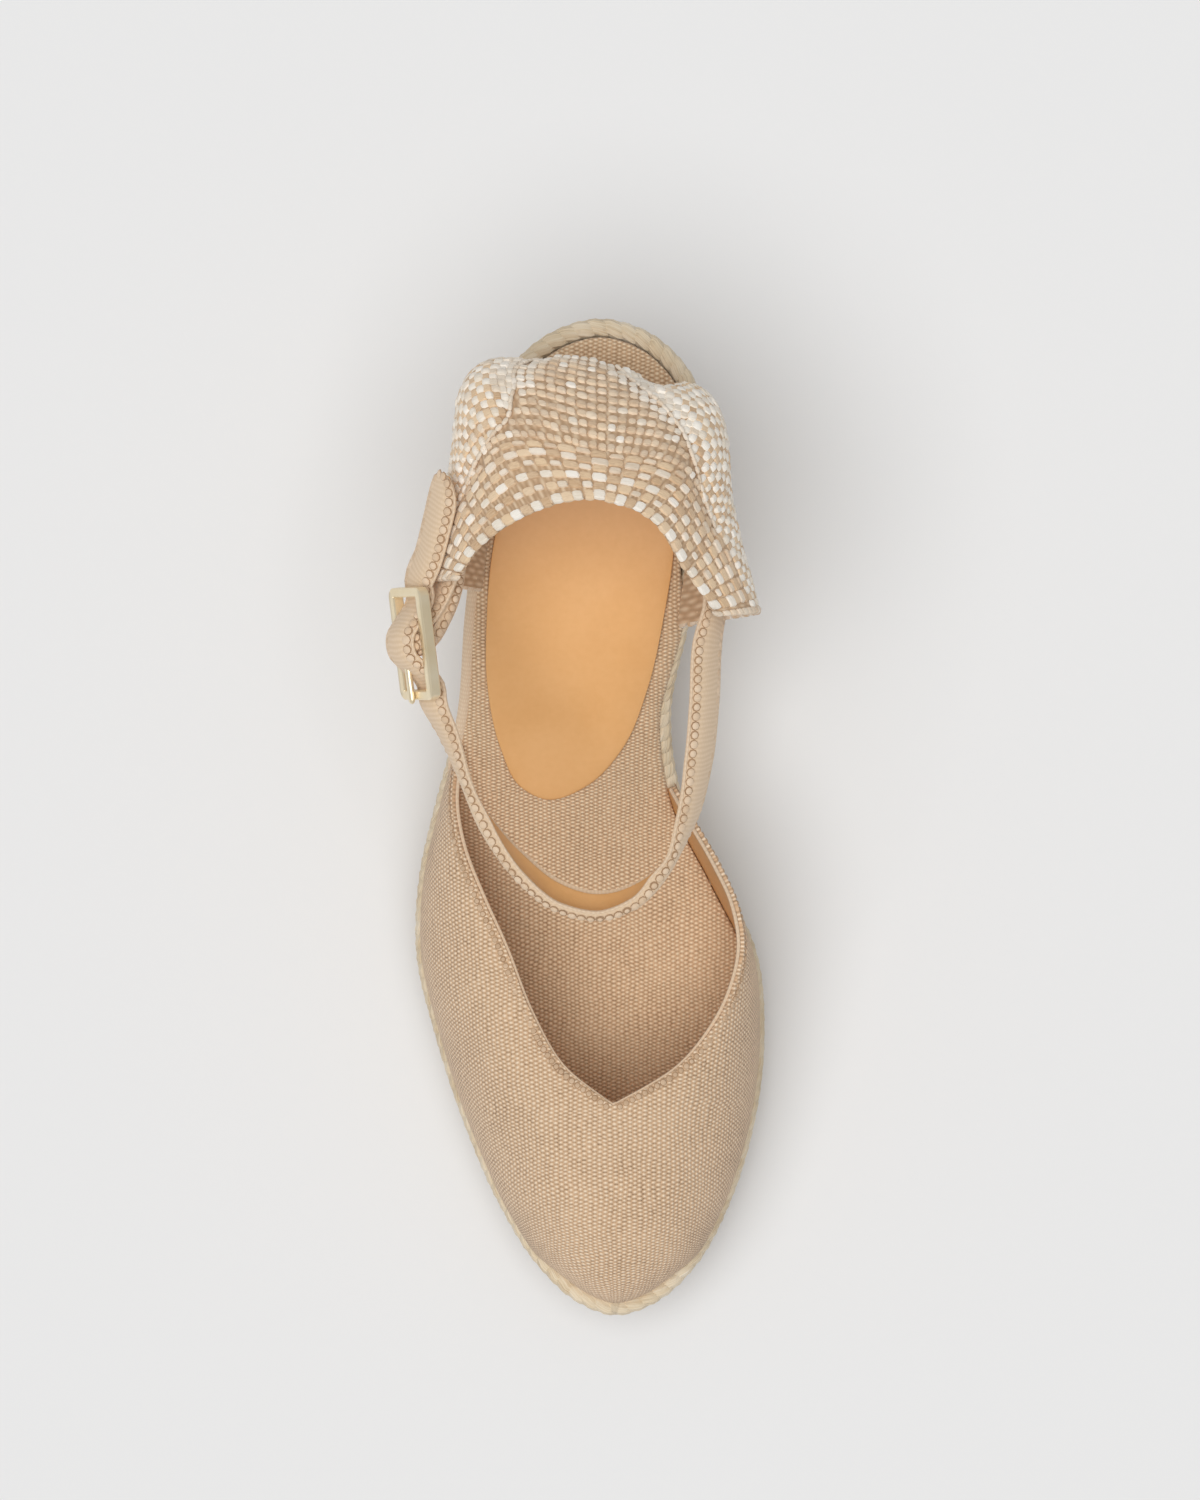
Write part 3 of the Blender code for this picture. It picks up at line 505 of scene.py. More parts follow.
# Wedge: rows of three-strand plait wound round a plain core, and one more plait round the top edge
plaitLook = {
    "rowPitch": 7.4,
    "strands": 3,
    "period": 10.5,  # length of one full crossing, so each edge shows a strand every 3.5
    "sway": 1.95,
    "weave": 0.8,
    "halfWide": 1.55,
    "halfThick": 1.25,
    "inset": 2.2,  # middle of the plait inside the sole's edge
    "samples": 12,  # to a period
    "tuck": 3.0,  # how far a row's end goes in under the rim
    "tuckLength": 9.0,
    "coreInset": 3.4,
    "coreTopInset": 7.0,
    "coreDepth": 2.2,  # of the core's top under the footbed
    "shoulder": 3.0,  # from the rim's underside up to the core's shoulder
    "mostRows": 10,
    "underRim": 0.36,  # a row ends where less than this share of its pitch is left under the rim
    "leastPeriods": 4,  # a shorter row is left out
}

# The rim's plait is fuller than the rows
rimLook = {"sway": 1.8, "weave": 0.35, "halfWide": 1.85, "halfThick": 2.0, "inset": 2.1}


def plait(path, out, look, closed, sides, wobble=0.12):
    count = len(path)
    run = np.roll(path, -1, 0) - np.roll(path, 1, 0)
    if not closed:
        run[0], run[-1] = path[1] - path[0], path[-1] - path[-2]
    run = unit(run)
    side = unit(np.stack([out[:, 0], out[:, 1], np.zeros(count)], 1))
    side = unit(side - run * np.sum(run * side, 1, keepdims=True))
    up = unit(np.cross(side, run))
    up *= np.sign(up[:, 2:3])
    distance = lengths(path)
    total = distance[-1] + (np.linalg.norm(path[0] - path[-1]) if closed else 0.0)
    turns = max(1, round(total / look["period"]))
    angle = distance / total * turns * 2 * math.pi
    strands = []
    for s in range(look["strands"]):
        t = angle + s * 2 * math.pi / look["strands"]
        loose = 1 + wobble * np.sin(angle * 0.37 + s * 2.1) * np.sin(angle * 0.11 + s)
        across = look["sway"] * np.sin(t) * loose
        depth = look["weave"] * np.sin(2 * t)
        line = path + up * across[:, None] + side * depth[:, None]
        if closed:
            slope = unit(np.roll(line, -1, 0) - np.roll(line, 1, 0))
        else:
            slope = unit(np.gradient(line, axis=0))
        flat = unit(up - slope * np.sum(slope * up, 1, keepdims=True))
        thick = unit(np.cross(slope, flat))
        strands.append(tube(line, flat, thick, look["halfWide"], look["halfThick"], sides, closed))
    return joined(strands)


def ringPath(height, inset, step):  # evenly spaced points round the sole, and the way out at each
    wide = np.asarray(inset, float)[..., None] if np.ndim(inset) else inset
    flat = edge[:, :2] - edgeOut * wide
    path = np.column_stack([flat, height(flat[:, 1]), edgeOut])
    path = evenly(np.vstack([path, path[:1]]), int(lengths(path[:, :3])[-1] / step))[:-1]
    return path[:, :3], path[:, 3:5]


def draftAt(z):
    top = footbed(edge[:, 1])
    return edge[:, 2] * (top - z) / (top - tread(edge[:, 1]))


rimBase = soleShape["rimDrop"] + 2 * soleShape["rimRadius"] + soleShape["gap"]
rowStep = plaitLook["period"] / plaitLook["samples"]
rimMiddle = soleShape["rimDrop"] + rimLook["sway"] + rimLook["halfWide"]
rimPath, rimOut = ringPath(lambda y: belowFootbed(y, rimMiddle), rimLook["inset"], rowStep)
rim = newMesh("rimPlait", *plait(rimPath, rimOut, plaitLook | rimLook, True, 8))
finishPiece(rim, rimStrand, "jute", "rim_braid")

rowShapes = []
wedgeBase = soleShape["outsole"] + soleShape["gap"]
for row in range(plaitLook["mostRows"]):
    lift = wedgeBase + (row + 0.5) * plaitLook["rowPitch"]
    inset = plaitLook["inset"] - draftAt(tread(edge[:, 1]) + lift)
    path, out = ringPath(lambda y: tread(y) + lift, inset, rowStep)
    room = belowFootbed(path[:, 1], rimBase) - path[:, 2] - plaitLook["underRim"] * plaitLook["rowPitch"]
    if (room > 0).all():
        rowShapes.append(plait(path, out, plaitLook, True, 6))
        continue
    if (room <= 0).all():
        continue
    start = int(np.argmin(room))
    path, out, room = np.roll(path, -start, 0), np.roll(out, -start, 0), np.roll(room, -start)
    kept = np.flatnonzero(room > 0)
    path, out = path[kept[0] : kept[-1] + 1], out[kept[0] : kept[-1] + 1]
    if len(path) < plaitLook["leastPeriods"] * plaitLook["samples"]:
        continue
    along = lengths(path)
    ends = np.minimum(along, along[-1] - along)
    tuck = plaitLook["tuck"] * (1 - softStep(ends, 0, plaitLook["tuckLength"]))
    path = path - np.column_stack([out * tuck[:, None], np.zeros(len(path))])
    rowShapes.append(plait(path, out, plaitLook, False, 6))
rows = newMesh("wedgePlaits", *joined(rowShapes))
finishPiece(rows, juteStrand, "jute", "jute_wedge")


def rungs(plan, rings, across):  # from the lateral to the medial edge, with the edge's rings outside them
    lines, shares = [], np.linspace(0, 1, across + 1)[1:-1]
    for k in range(len(plan) // 2 + 1):
        left, right = [ring[k] for ring in rings], [ring[-k] for ring in rings]
        inside = [left[-1] + (right[-1] - left[-1]) * share for share in shares]
        lines.append([*left, *inside, *right[::-1]])
    return np.array(lines)


def layer(plan, normals, inset, depth):
    flat = plan[:, :2] - normals * np.broadcast_to(np.asarray(inset, float), len(plan))[:, None]
    return np.column_stack([flat, belowFootbed(flat[:, 1], depth)])


# The core stands inside the plaits and ends under the footbed
coreFoot = edge[:, :2] - edgeOut * (plaitLook["coreInset"] - edge[:, 2:3])
shoulderDepth = rimBase - plaitLook["shoulder"]
coreRings = [
    np.column_stack([coreFoot, tread(coreFoot[:, 1]) + wedgeBase]),
    layer(edge, edgeOut, plaitLook["coreInset"], shoulderDepth),
    layer(edge, edgeOut, plaitLook["coreTopInset"], shoulderDepth),
    layer(edge, edgeOut, plaitLook["coreTopInset"], plaitLook["coreDepth"]),
]
corePoints = rungs(edge, coreRings, 12)
core = gridPiece("wedgeCore", corePoints, corePoints[..., 1:].copy(), merge=0.02, flip=True)
bpy.ops.object.mode_set(mode="EDIT")
bpy.ops.mesh.select_all(action="DESELECT")
bpy.ops.mesh.select_non_manifold()
bpy.ops.mesh.edge_face_add()
bpy.ops.object.mode_set(mode="OBJECT")
finishPiece(core, juteStrand, "jute")
print("wedge plaits made", len(rowShapes), "rows")


# Footbed: canvas sock that rolls over the rim at the waist on both sides, and a leather half sock on it
sockLook = {
    "inset": 4.3,
    "least": 0.7,
    # y and inset from the sole's edge along each side, then the edge's inset, depth and drop over the rim
    "lateral": ((-10.0, 4.3), (-1.0, 0.8), (20.0, 0.7), (43.0, 0.7), (52.0, 4.3)),
    "medial": ((-80.0, 4.3), (-68.0, 3.2), (-6.0, 2.7), (8.0, 2.4), (16.0, 1.4), (30.0, 1.2), (41.0, 4.3)),
    "edge": ((0.15, 2.2, 1.0), (0.0, 1.2, 0.9), (0.25, 0.45, 0.7), (0.8, 0.1, 0.5), (2.2, 0.0, 0.2)),
    "cloth": 0.9,
    "fold": {"inset": 1.25, "depth": 1.3, "wide": 1.5, "high": 1.1, "count": 90, "ending": 12},
    "across": 30,
}
lateralSide = np.arange(len(edge)) <= len(edge) // 2
sockInset = np.where(lateralSide, *(tableValue(sockLook[side], edge[:, 1]) for side in ("lateral", "medial")))
sockInset = np.clip(sockInset, sockLook["least"], sockLook["inset"])
rolled = (sockLook["inset"] - sockInset) / (sockLook["inset"] - sockLook["least"])
sockRings = [
    layer(edge, edgeOut, sockInset + shift, depth + drop * rolled) for shift, depth, drop in sockLook["edge"]
]
sockPoints = rungs(edge, sockRings, sockLook["across"])
slant = np.sqrt(1 + ((footbed(sockPoints[..., 1] + 1) - footbed(sockPoints[..., 1] - 1)) / 2) ** 2)
sockMap = np.stack([sockPoints[..., 0], sockPoints[..., 1] * slant], 2)
sock = gridPiece("canvasSock", sockPoints, sockMap, merge=0.02, flip=True)
wall(sock, sockLook["cloth"])
finishPiece(sock, sockCanvas, "canvas", "insole")

foldLook = sockLook["fold"]
foldZone = np.flatnonzero(lateralSide & (rolled > 0.5))
foldLine = evenly(layer(edge, edgeOut, foldLook["inset"], foldLook["depth"])[foldZone], foldLook["count"])
toEnd = np.minimum(np.arange(foldLook["count"]), np.arange(foldLook["count"])[::-1])
ending = np.sqrt(np.clip(toEnd / foldLook["ending"], 0.03, 1))
fold = newMesh("sockFold", *levelTube(foldLine, foldLook["wide"] * ending, foldLook["high"] * ending, 10))
finishPiece(fold, edgeTape, "canvas")

padLook = {
    "rear": (-1.0, 78.0, 0.0),
    "front": (-12.6, -11.6, 0.0),
    "plan": (  # y, lateral x, medial x; the draft on both sides is nothing
        (74.5, -11.5, 9.5, 0, 0), (66.0, -18.8, 15.5, 0, 0), (48.0, -24.2, 17.0, 0, 0),
        (30.0, -26.1, 14.6, 0, 0), (14.0, -26.0, 11.0, 0, 0), (0.5, -23.2, 5.4, 0, 0),
        (-8.4, -18.8, -3.0, 0, 0),
    ),
    "foot": 0.05,  # height of the lower edge over the footbed
    "lift": 0.35,
    "thickness": 0.9,
    "edge": ((0.0, 0.35), (0.12, 0.08), (0.4, 0.0), (2.0, 0.0)),  # inset, and depth below the pad's top
    "skin": 0.3,
    "across": 24,
}
padPlan = closedPlan(padLook["plan"], padLook["rear"], padLook["front"], soleShape["steps"])
padOut = planNormals(padPlan)
padTop = padLook["lift"] + padLook["thickness"]
padRings = [layer(padPlan, padOut, 0.0, -padLook["foot"])]
padRings += [layer(padPlan, padOut, inset, depth - padTop) for inset, depth in padLook["edge"]]
padPoints = rungs(padPlan, padRings, padLook["across"])
pad = gridPiece("leatherPad", padPoints, padPoints[..., :2].copy(), merge=0.02, flip=True)
wall(pad, padLook["skin"])
finishPiece(pad, padLeather, "leather", "heel_pad")
print("footbed made")


# Vamp: canvas shell over the toes with a leather lining, sewn along its V-shaped topline
vampLook = {
    "inset": 3.0,
    "fullness": 0.56,
    "steps": 6,
    "levels": 26,
    "crown": (  # rim y, then y, x and height of the crown or topline, turn of the wall, flare
        (-130.5, -110.0, 3.7, 24.4, 0.58, 0.0),
        (-129.7, -110.0, 3.7, 24.4, 0.61, 0.0),
        (-127.0, -110.0, 3.7, 24.4, 0.74, 0.0),
        (-121.0, -110.0, 3.7, 24.4, 0.90, 0.2),
        (-112.5, -104.0, 3.7, 27.6, 1.00, 0.4),
        (-103.0, -97.0, 3.6, 31.2, 1.00, 0.6),
        (-93.5, -89.4, 3.3, 34.8, 1.00, 0.6),
        (-84.0, -82.2, 3.0, 38.0, 1.00, 0.6),
    ),
    "lateral": (
        (-74.0, -73.0, -8.6, 36.6, 0.97, 0.6),
        (-61.5, -61.0, -15.8, 33.6, 0.92, 0.5),
        (-45.4, -45.4, -22.1, 29.4, 0.86, 0.4),
        (-34.3, -34.3, -27.3, 25.4, 0.82, 0.3),
        (-22.2, -22.2, -32.2, 19.6, 0.78, 0.2),
        (-12.0, -12.0, -34.2, 13.0, 0.74, 0.0),
        (-4.0, -4.0, -33.8, 6.5, 0.70, 0.0),
        (1.0, 1.0, -33.6, 2.2, 0.65, 0.0),
    ),
    "medial": (
        (-80.0, -78.4, 10.0, 37.6, 0.99, 0.7),
        (-73.5, -72.9, 18.5, 36.4, 0.95, 0.9),
        (-65.2, -65.2, 25.4, 34.4, 0.90, 1.1),
        (-56.3, -56.3, 30.6, 31.6, 0.84, 1.4),
        (-45.0, -45.0, 33.4, 28.4, 0.76, 1.6),
        (-35.6, -35.6, 31.9, 25.6, 0.70, 2.0),
        (-25.7, -25.7, 27.4, 21.0, 0.64, 2.2),
        (-16.0, -16.0, 21.8, 13.0, 0.60, 1.6),
        (-8.5, -8.5, 17.6, 3.0, 0.55, 0.6),
    ),
    "canvas": 1.1,
    "lining": 0.5,
    "liningDepth": 1.25,
    "stitchSpacing": 1.6,
    "stitchIn": 1.6,
    "stitch": (0.62, 0.60, 0.26),
    "stitchPale": 0.5,
    "binding": (0.45, 0.55),  # half width and half height of the lining's light edge
    "bindingDepth": 1.35,
    "bindingRise": 0.25,
    "bindingCross": (-1.6, -1.2, -0.6),  # where the inner side's end crosses over at the V
    "sideCover": 1.9,  # how much nearer the sole's edge the canvas comes along the sides than at the toe
    "coverGrows": (-129, -118),  # y between which it does so
    "footSink": 1.4,  # how far the lower edge goes down into the rim plait
    "folds": (  # depth, width, then the soft trough's line in plan; a ridge has a depth below zero
        (0.45, 5.0, ((-9.0, -76.0), (-16.0, -86.0), (-21.0, -97.0))),
        (-0.35, 4.5, ((-18.0, -58.0), (-24.0, -70.0), (-26.0, -84.0))),
        (0.40, 5.0, ((13.0, -79.0), (20.0, -88.0), (25.0, -98.0))),
        (-0.35, 4.0, ((26.0, -62.0), (30.0, -74.0), (30.0, -88.0))),
        (0.30, 6.0, ((-14.0, -112.0), (2.0, -118.0), (20.0, -113.0))),
    ),
}


def edgeAt(side, y, inset):
    inner = edge[:, :2] - edgeOut * inset[:, None]
    half = len(edge) // 2
    line = inner[: half + 1] if side == "lateral" else np.vstack([inner[:1], inner[half:][::-1]])
    rising = np.maximum.accumulate(line[:, 1])
    return np.stack([np.interp(y, rising, line[:, 0]), np.interp(y, rising, line[:, 1])], 1)


def vampLines(side):  # the table's rows with smooth rows between them
    crown, steps = vampLook["crown"], vampLook["steps"]
    rows = np.array([*crown, *vampLook[side]])
    throat = len(crown) - 1
    front, back = rows[: throat + 1, 1:4], rows[throat:, 1:4]
    tops = np.vstack([smoothCurve(front, steps)[:-1], smoothCurve(back, steps)])
    places = np.arange(len(tops)) / steps
    base, turn, flare = (tableValue(list(zip(range(len(rows)), rows[:, c])), places) for c in (0, 4, 5))
    return np.column_stack([base, tops, turn, flare])


def vampHalf(side):  # sections from the toe back, each from the rim up to the crown or topline
    line = vampLines(side)
    inset = vampLook["inset"] - vampLook["sideCover"] * softStep(edge[:, 1], *vampLook["coverGrows"])
    foot = edgeAt(side, line[:, 0], inset)
    depth = soleShape["rimDrop"] - soleShape["gap"]
    rimZ = belowFootbed(foot[:, 1], depth)
    low = np.column_stack([foot, rimZ])
    top = np.column_stack([line[:, 2], line[:, 1], belowFootbed(line[:, 1], depth) + line[:, 3]])
    out = -1.0 if side == "lateral" else 1.0
    turnZ = rimZ + line[:, 4] * (top[:, 2] - rimZ)
    turn = np.column_stack([foot[:, 0] + out * line[:, 5], foot[:, 1], turnZ])
    lower = low + (turn - low) * vampLook["fullness"]
    upper = top + (turn - top) * vampLook["fullness"]
    low = low - (0, 0, vampLook["footSink"])
    t = np.linspace(0, 1, vampLook["levels"] + 1)[None, :, None]
    s = 1 - t
    low, lower, upper, top = (row[:, None] for row in (low, lower, upper, top))
    return low * s**3 + lower * 3 * s**2 * t + upper * 3 * s * t**2 + top * t**3


def gridNormals(points):
    return unit(np.cross(np.gradient(points, axis=0), np.gradient(points, axis=1)))


def clothMap(points, normals):
    # distances over the cloth, across and along the shoe, from the crown or topline down
    step = np.diff(points[:, ::-1], axis=1)
    slope = normals[:, ::-1][:, 1:]
    level = np.hypot(slope[..., 0], slope[..., 1]) + 1e-6
    maps = []
    for axis in (0, 1):
        drop = np.abs(step[..., 2]) * slope[..., axis] / level
        if axis == 1:
            # the toe's front is steep, the sides aren't
            drop = drop * (1 - softStep(points[:, :1, 1], -123.0, -104.0))
        way = np.sign(step[..., axis] + 0.3 * drop)
        first = points[:, -1:, axis]
        maps.append(np.concatenate([first, first + np.cumsum(np.hypot(step[..., axis], drop) * way, 1)], 1))
    return np.stack(maps, 2)[:, ::-1]


def folded(points, normals, folds):  # the surface with its soft troughs and ridges pressed in
    moved = np.zeros(points.shape[:2])
    for depth, width, line in folds:
        near = np.full(points.shape[:2], 1e3)
        for x, y in evenly(smoothCurve(line, 8), 40):
            near = np.minimum(near, np.hypot(points[..., 0] - x, points[..., 1] - y))
        moved += depth * np.exp(-((near / width) ** 2))
    return points - normals * moved[..., None]


lateralHalf, medialHalf = vampHalf("lateral"), vampHalf("medial")
vampPoints = np.concatenate([lateralHalf[::-1], medialHalf[1:]])
vampNormals = gridNormals(vampPoints)
vampMap = clothMap(vampPoints, vampNormals)
vampPoints = folded(vampPoints, vampNormals, vampLook["folds"])
vamp = gridPiece("canvasVamp", vampPoints, vampMap, merge=0.05)
pick(vamp)
bpy.ops.object.duplicate()
lining = bpy.context.object
lining.name = lining.data.name = "vampLining"
useModifier(lining, "DISPLACE", strength=-vampLook["liningDepth"] * mm, mid_level=0.0, direction="NORMAL")
wall(lining, vampLook["lining"], 0.15)
wall(vamp, vampLook["canvas"], 0.3)
finishPiece(vamp, vampCanvas, "canvas", "vamp")
finishPiece(lining, liningLeather, "leather")

# Stitches are small round knots of thread, each on a flat dark ring that is painted shade round the knot
knotLook = {"vary": 0.10, "lift": 0.15, "ring": 1.28, "shadeRingHigh": 0.14}
knot = lump(2.0, ((-0.4, 0.9), (0.3, 1.0), (0.75, 0.62)))


def stitchRow(line, normals, spacing, size, pale):  # line of places on a surface, with the way out at each
    count = max(2, int(lengths(line)[-1] / spacing))
    even = evenly(np.column_stack([line, normals]), count)
    places, out = even[:, :3], unit(even[:, 3:6])
    ahead = unit(np.gradient(places, axis=0))
    right = unit(np.cross(ahead, out))
    sizes = np.array(size) * (1 + knotLook["vary"] * chance.standard_normal((count, 1)))
    # each knot also gets a flat dark ring under it, coloured with the tan end of the thread material: painted
    # shade round the knot
    ring = (size[0] * knotLook["ring"], size[1] * knotLook["ring"], knotLook["shadeRingHigh"])
    return [
        (scatter(knot, places + out * knotLook["lift"], right, ahead, out, sizes), pale),
        (scatter(knot, places, right, ahead, out, np.tile(ring, (count, 1))), 0.0),
    ]


def stitchPiece(name, rows):
    shapes = [shape for row in rows for shape, pale in row]
    piece = newMesh(name, *joined(shapes))
    pale = np.concatenate([np.full(len(shape[0]), pale) for row in rows for shape, pale in row])
    pointValues(piece, "white", pale)
    pointValues(piece, "tone", np.repeat(chance.random(len(pale) // len(knot[0])), len(knot[0])))
    finishPiece(piece, knotThreadAndShade, "canvas")


def belowTop(points, normals, depth):  # places this far down each section from its top
    back = points[:, ::-1]
    run = np.cumsum(np.linalg.norm(np.diff(back, axis=1), axis=2), 1)
    run = np.concatenate([np.zeros((len(points), 1)), run], 1)
    places, ways = [], []
    for k in range(len(points)):
        if run[k, -1] < depth:
            continue
        places.append([np.interp(depth, run[k], back[k, :, c]) for c in range(3)])
        ways.append([np.interp(depth, run[k], normals[k, ::-1, c]) for c in range(3)])
    return np.array(places), unit(np.array(ways))


throat = (len(vampLook["crown"]) - 1) * vampLook["steps"]
lateralLine = belowTop(lateralHalf[throat:], -gridNormals(lateralHalf)[throat:], vampLook["stitchIn"])
medialLine = belowTop(medialHalf[throat:], gridNormals(medialHalf)[throat:], vampLook["stitchIn"])
stitchPiece("toplineStitches", [
    stitchRow(*line, vampLook["stitchSpacing"], vampLook["stitch"], vampLook["stitchPale"])
    for line in (lateralLine, medialLine)
])

# Light edge of the lining that stands up inside the topline; the inner side's end crosses over at the V
bindings = []
for half, ways in ((lateralHalf, -gridNormals(lateralHalf)), (medialHalf, gridNormals(medialHalf))):
    line = half[throat:, -1] - ways[throat:, -2] * vampLook["bindingDepth"] + (0, 0, vampLook["bindingRise"])
    if half is medialHalf:
        line = np.vstack([line[0] + vampLook["bindingCross"], line])
    bindings.append(levelTube(evenly(line, 120), *vampLook["binding"], 8))
binding = newMesh("liningEdge", *joined(bindings))
finishPiece(binding, edgeTape, "canvas")
print("vamp made")


# Heel band: woven cloth of tan and white yarns, gathered into a soft crease at each side
bandLook = {
    "folds": (  # lower edge, middle and top edge, from the lateral front edge round the heel
        ((-28.2, 37.0, 67.6), (-38.6, 38.2, 93.0), (-32.8, 38.2, 118.0)),
        ((-25.6, 56.0, 74.0), (-34.8, 60.0, 100.0), (-26.4, 45.2, 124.5)),
        ((-24.2, 87.0, 97.0), (-28.8, 78.5, 110.0), (-15.4, 51.4, 130.5)),
        ((0.0, 88.5, 99.0), (0.0, 75.5, 119.0), (0.0, 55.0, 134.0)),
        ((22.0, 83.0, 97.0), (25.2, 69.4, 110.0), (11.5, 50.5, 131.0)),
        ((21.6, 50.0, 72.0), (30.6, 52.4, 100.0), (19.8, 38.5, 124.5)),
        ((18.6, 28.5, 63.2), (36.0, 31.2, 96.0), (26.6, 29.8, 117.0)),
    ),
    "creases": (  # share round the band and share of its height, along each crease
        (
            (0.41, 0.02), (0.40, 0.30), (0.395, 0.50), (0.345, 0.70), (0.25, 0.735), (0.15, 0.745),
            (0.05, 0.755),
        ),
        ((0.53, 0.03), (0.575, 0.33), (0.615, 0.52), (0.68, 0.69), (0.74, 0.73), (0.80, 0.74)),
    ),
    "creaseDepth": 1.3,
    "creaseWidth": 4.0,
    "gather": {"at": (0.60, 0.0), "depth": 5.0, "width": 6.5},  # of the lower edge, below the inner crease
    "thickness": 2.0,
    "height": 52.0,
    "girth": 130.0,
    "topRows": (2.5, 2.3, 2.2, 2.1, 2.0, 1.9),
    "topWhite": (1.0, 1.0, 0.95, 0.85, 0.65, 0.5),
    "zones": (  # share round that the columns are counted from, yarn spacing round and up, whiteness
        {"from": 0.20, "cell": 1.87, "row": 2.4, "white": 0.60},
        {"from": 0.49, "cell": 2.4, "row": 3.05, "white": 0.16},
        {"from": 0.82, "cell": 1.87, "row": 2.4, "white": 0.90},
        {"from": 0.50, "cell": 2.6, "row": 0.0, "white": 1.0},  # the rows along the top edge
    ),
    "yarnSizes": (  # half width and half height as shares of a cell
        (0.56, 0.51), (0.43, 0.36), (0.54, 0.38), (0.70, 0.62),  # floats: two sizes on top, middle, sides
        (0.54, 0.54), (0.64, 0.58),  # the yarns sunk between them: on top, elsewhere
    ),
    "ridge": {"spacing": 2.0, "size": (0.55, 1.1, 0.45), "white": 0.8, "depth": 0.1},
    "patch": {"width": 4.8, "from": 0.42, "to": 0.64},  # pale, round each crease, up to these heights
    "loop": 2.2,  # from one looped yarn to the next along the front edges
    "loopHigh": 0.56,  # half height of such a yarn as a share of that
    "halfThick": 0.85,
    "ends": (0.004, 0.996),
    "groundDepth": 0.55,
    "groundThick": 1.4,
}
bandEdges = [smoothCurve([fold[level] for fold in bandLook["folds"]], 40) for level in range(3)]
bandShare = np.linspace(0, 1, len(bandEdges[0]))


def bandPlain(u, v):
    low, middle, top = (
        np.stack([np.interp(u, bandShare, line[:, c]) for c in range(3)], -1) for line in bandEdges
    )
    belly = 2 * middle - (low + top) / 2
    v = np.asarray(v)[..., None]
    return low * (1 - v) ** 2 + belly * 2 * v * (1 - v) + top * v**2


def bandOut(u, v):
    step = 0.004
    up = bandPlain(u, v + step) - bandPlain(u, v - step)
    run = bandPlain(np.minimum(u + step, 1), v) - bandPlain(np.maximum(u - step, 0), v)
    return unit(np.cross(up, run)), unit(run), unit(up)


def creaseNear(u, v):  # distance in millimetres to the nearest crease
    place = bandPlain(u, v)
    best = np.full(np.shape(u), 1e3)
    for crease in bandLook["creases"]:
        for at in evenly(smoothCurve(crease, 8), 40):
            best = np.minimum(best, np.linalg.norm(place - bandPlain(at[0], at[1]), axis=-1))
    return best


def bandFace(u, v, depth):  # point this deep under the band's outer face
    out, run, up = bandOut(u, v)
    pulled = bandLook["creaseDepth"] * np.exp(-((creaseNear(u, v) / bandLook["creaseWidth"]) ** 2))
    place, gather = bandPlain(u, v), bandLook["gather"]
    away = np.linalg.norm(place - bandPlain(*gather["at"]), axis=-1)
    pulled = pulled + gather["depth"] * np.exp(-((away / gather["width"]) ** 2))
    return place - out * (depth + pulled)[..., None], run, up, out


def creaseShare(crease, v):  # share round the band at which a crease crosses this height, or past its end
    line = evenly(smoothCurve(crease, 8), 40)
    end = 0.0 if crease[-1][0] < 0.5 else 1.0
    return np.interp(v, line[:, 1], line[:, 0], right=end)


def rowPlaces(zone):  # shares of the band's height at the middles of a zone's rows, and the rows' height
    v = np.linspace(1, 0, 101)
    run = lengths(bandPlain(np.full(101, zone["from"]), v))
    top = np.array(bandLook["topRows"])
    if zone["row"] == 0:
        return np.interp(np.cumsum(top) - top / 2, run, v), top
    count = round((run[-1] - top.sum()) / zone["row"])
    tall = np.full(count, (run[-1] - top.sum()) / count)
    return np.interp(top.sum() + np.cumsum(tall) - tall / 2, run, v), tall


def bandCells():  # share round, share of height, row, column, cell width, row height and zone
    made = []
    for number, zone in enumerate(bandLook["zones"]):
        cell, atTop = zone["cell"], zone["row"] == 0
        run = lengths(bandPlain(bandShare, np.full(len(bandShare), 0.96 if atTop else 0.4)))
        places = np.interp(zone["from"], bandShare, run) + np.arange(-80, 81) * cell
        columns = np.flatnonzero((places > 0.5) & (places < run[-1] - 0.5))
        shares = np.interp(places[columns], run, bandShare)
        for row, (v, tall) in enumerate(zip(*rowPlaces(zone))):
            here = lengths(bandPlain(bandShare, np.full(len(bandShare), v)))
            stretch = np.interp(shares, bandShare, np.gradient(here) / np.gradient(run))
            left, right = (creaseShare(crease, v) for crease in bandLook["creases"])
            start, end = ((0.0, left), (left, right), (right, 1.0), (0.0, 1.0))[number]
            margin = 0.35 * cell / here[-1]
            for k in np.flatnonzero((shares > start + margin) & (shares < end - margin)):
                made.append((shares[k], v, row, columns[k], stretch[k] * cell, tall, number))
    return np.array(made)


cells = bandCells()
cellU, cellV, cellRow, cellColumn, cellWide, cellTall, cellZone = cells.T
cellZone, atTop, atMiddle = cellZone.astype(int), cellZone == 3, cellZone == 1
isFloat = ((cellRow + cellColumn) % 2 == 0) | atMiddle
isLarge = cellColumn % 2 == 0  # along the top every other column is of large white floats
luck = chance.random(len(cells))
white = np.array([zone["white"] for zone in bandLook["zones"]])[cellZone]
white = np.where(atMiddle, white + 0.22 * luck + 0.5 * (luck > 0.93), white + (1 - white) * luck)
topWhite = np.interp(cellRow, np.arange(len(bandLook["topWhite"])), bandLook["topWhite"])
white = np.where(atTop, topWhite * np.where(isLarge, 1.0, 0.72) * (0.9 + 0.1 * luck), white)
white = np.maximum(white, np.interp(cellV, (0.0, 0.07, 0.14), (0.95, 0.8, 0.0)))
patch = bandLook["patch"]
patchWide = 0.6 + patch["width"] * (1 - softStep(cellV, patch["from"], patch["to"]))
patched = softStep(np.exp(-((creaseNear(cellU, cellV) / patchWide) ** 2)), 0.25, 0.55) * ~atTop
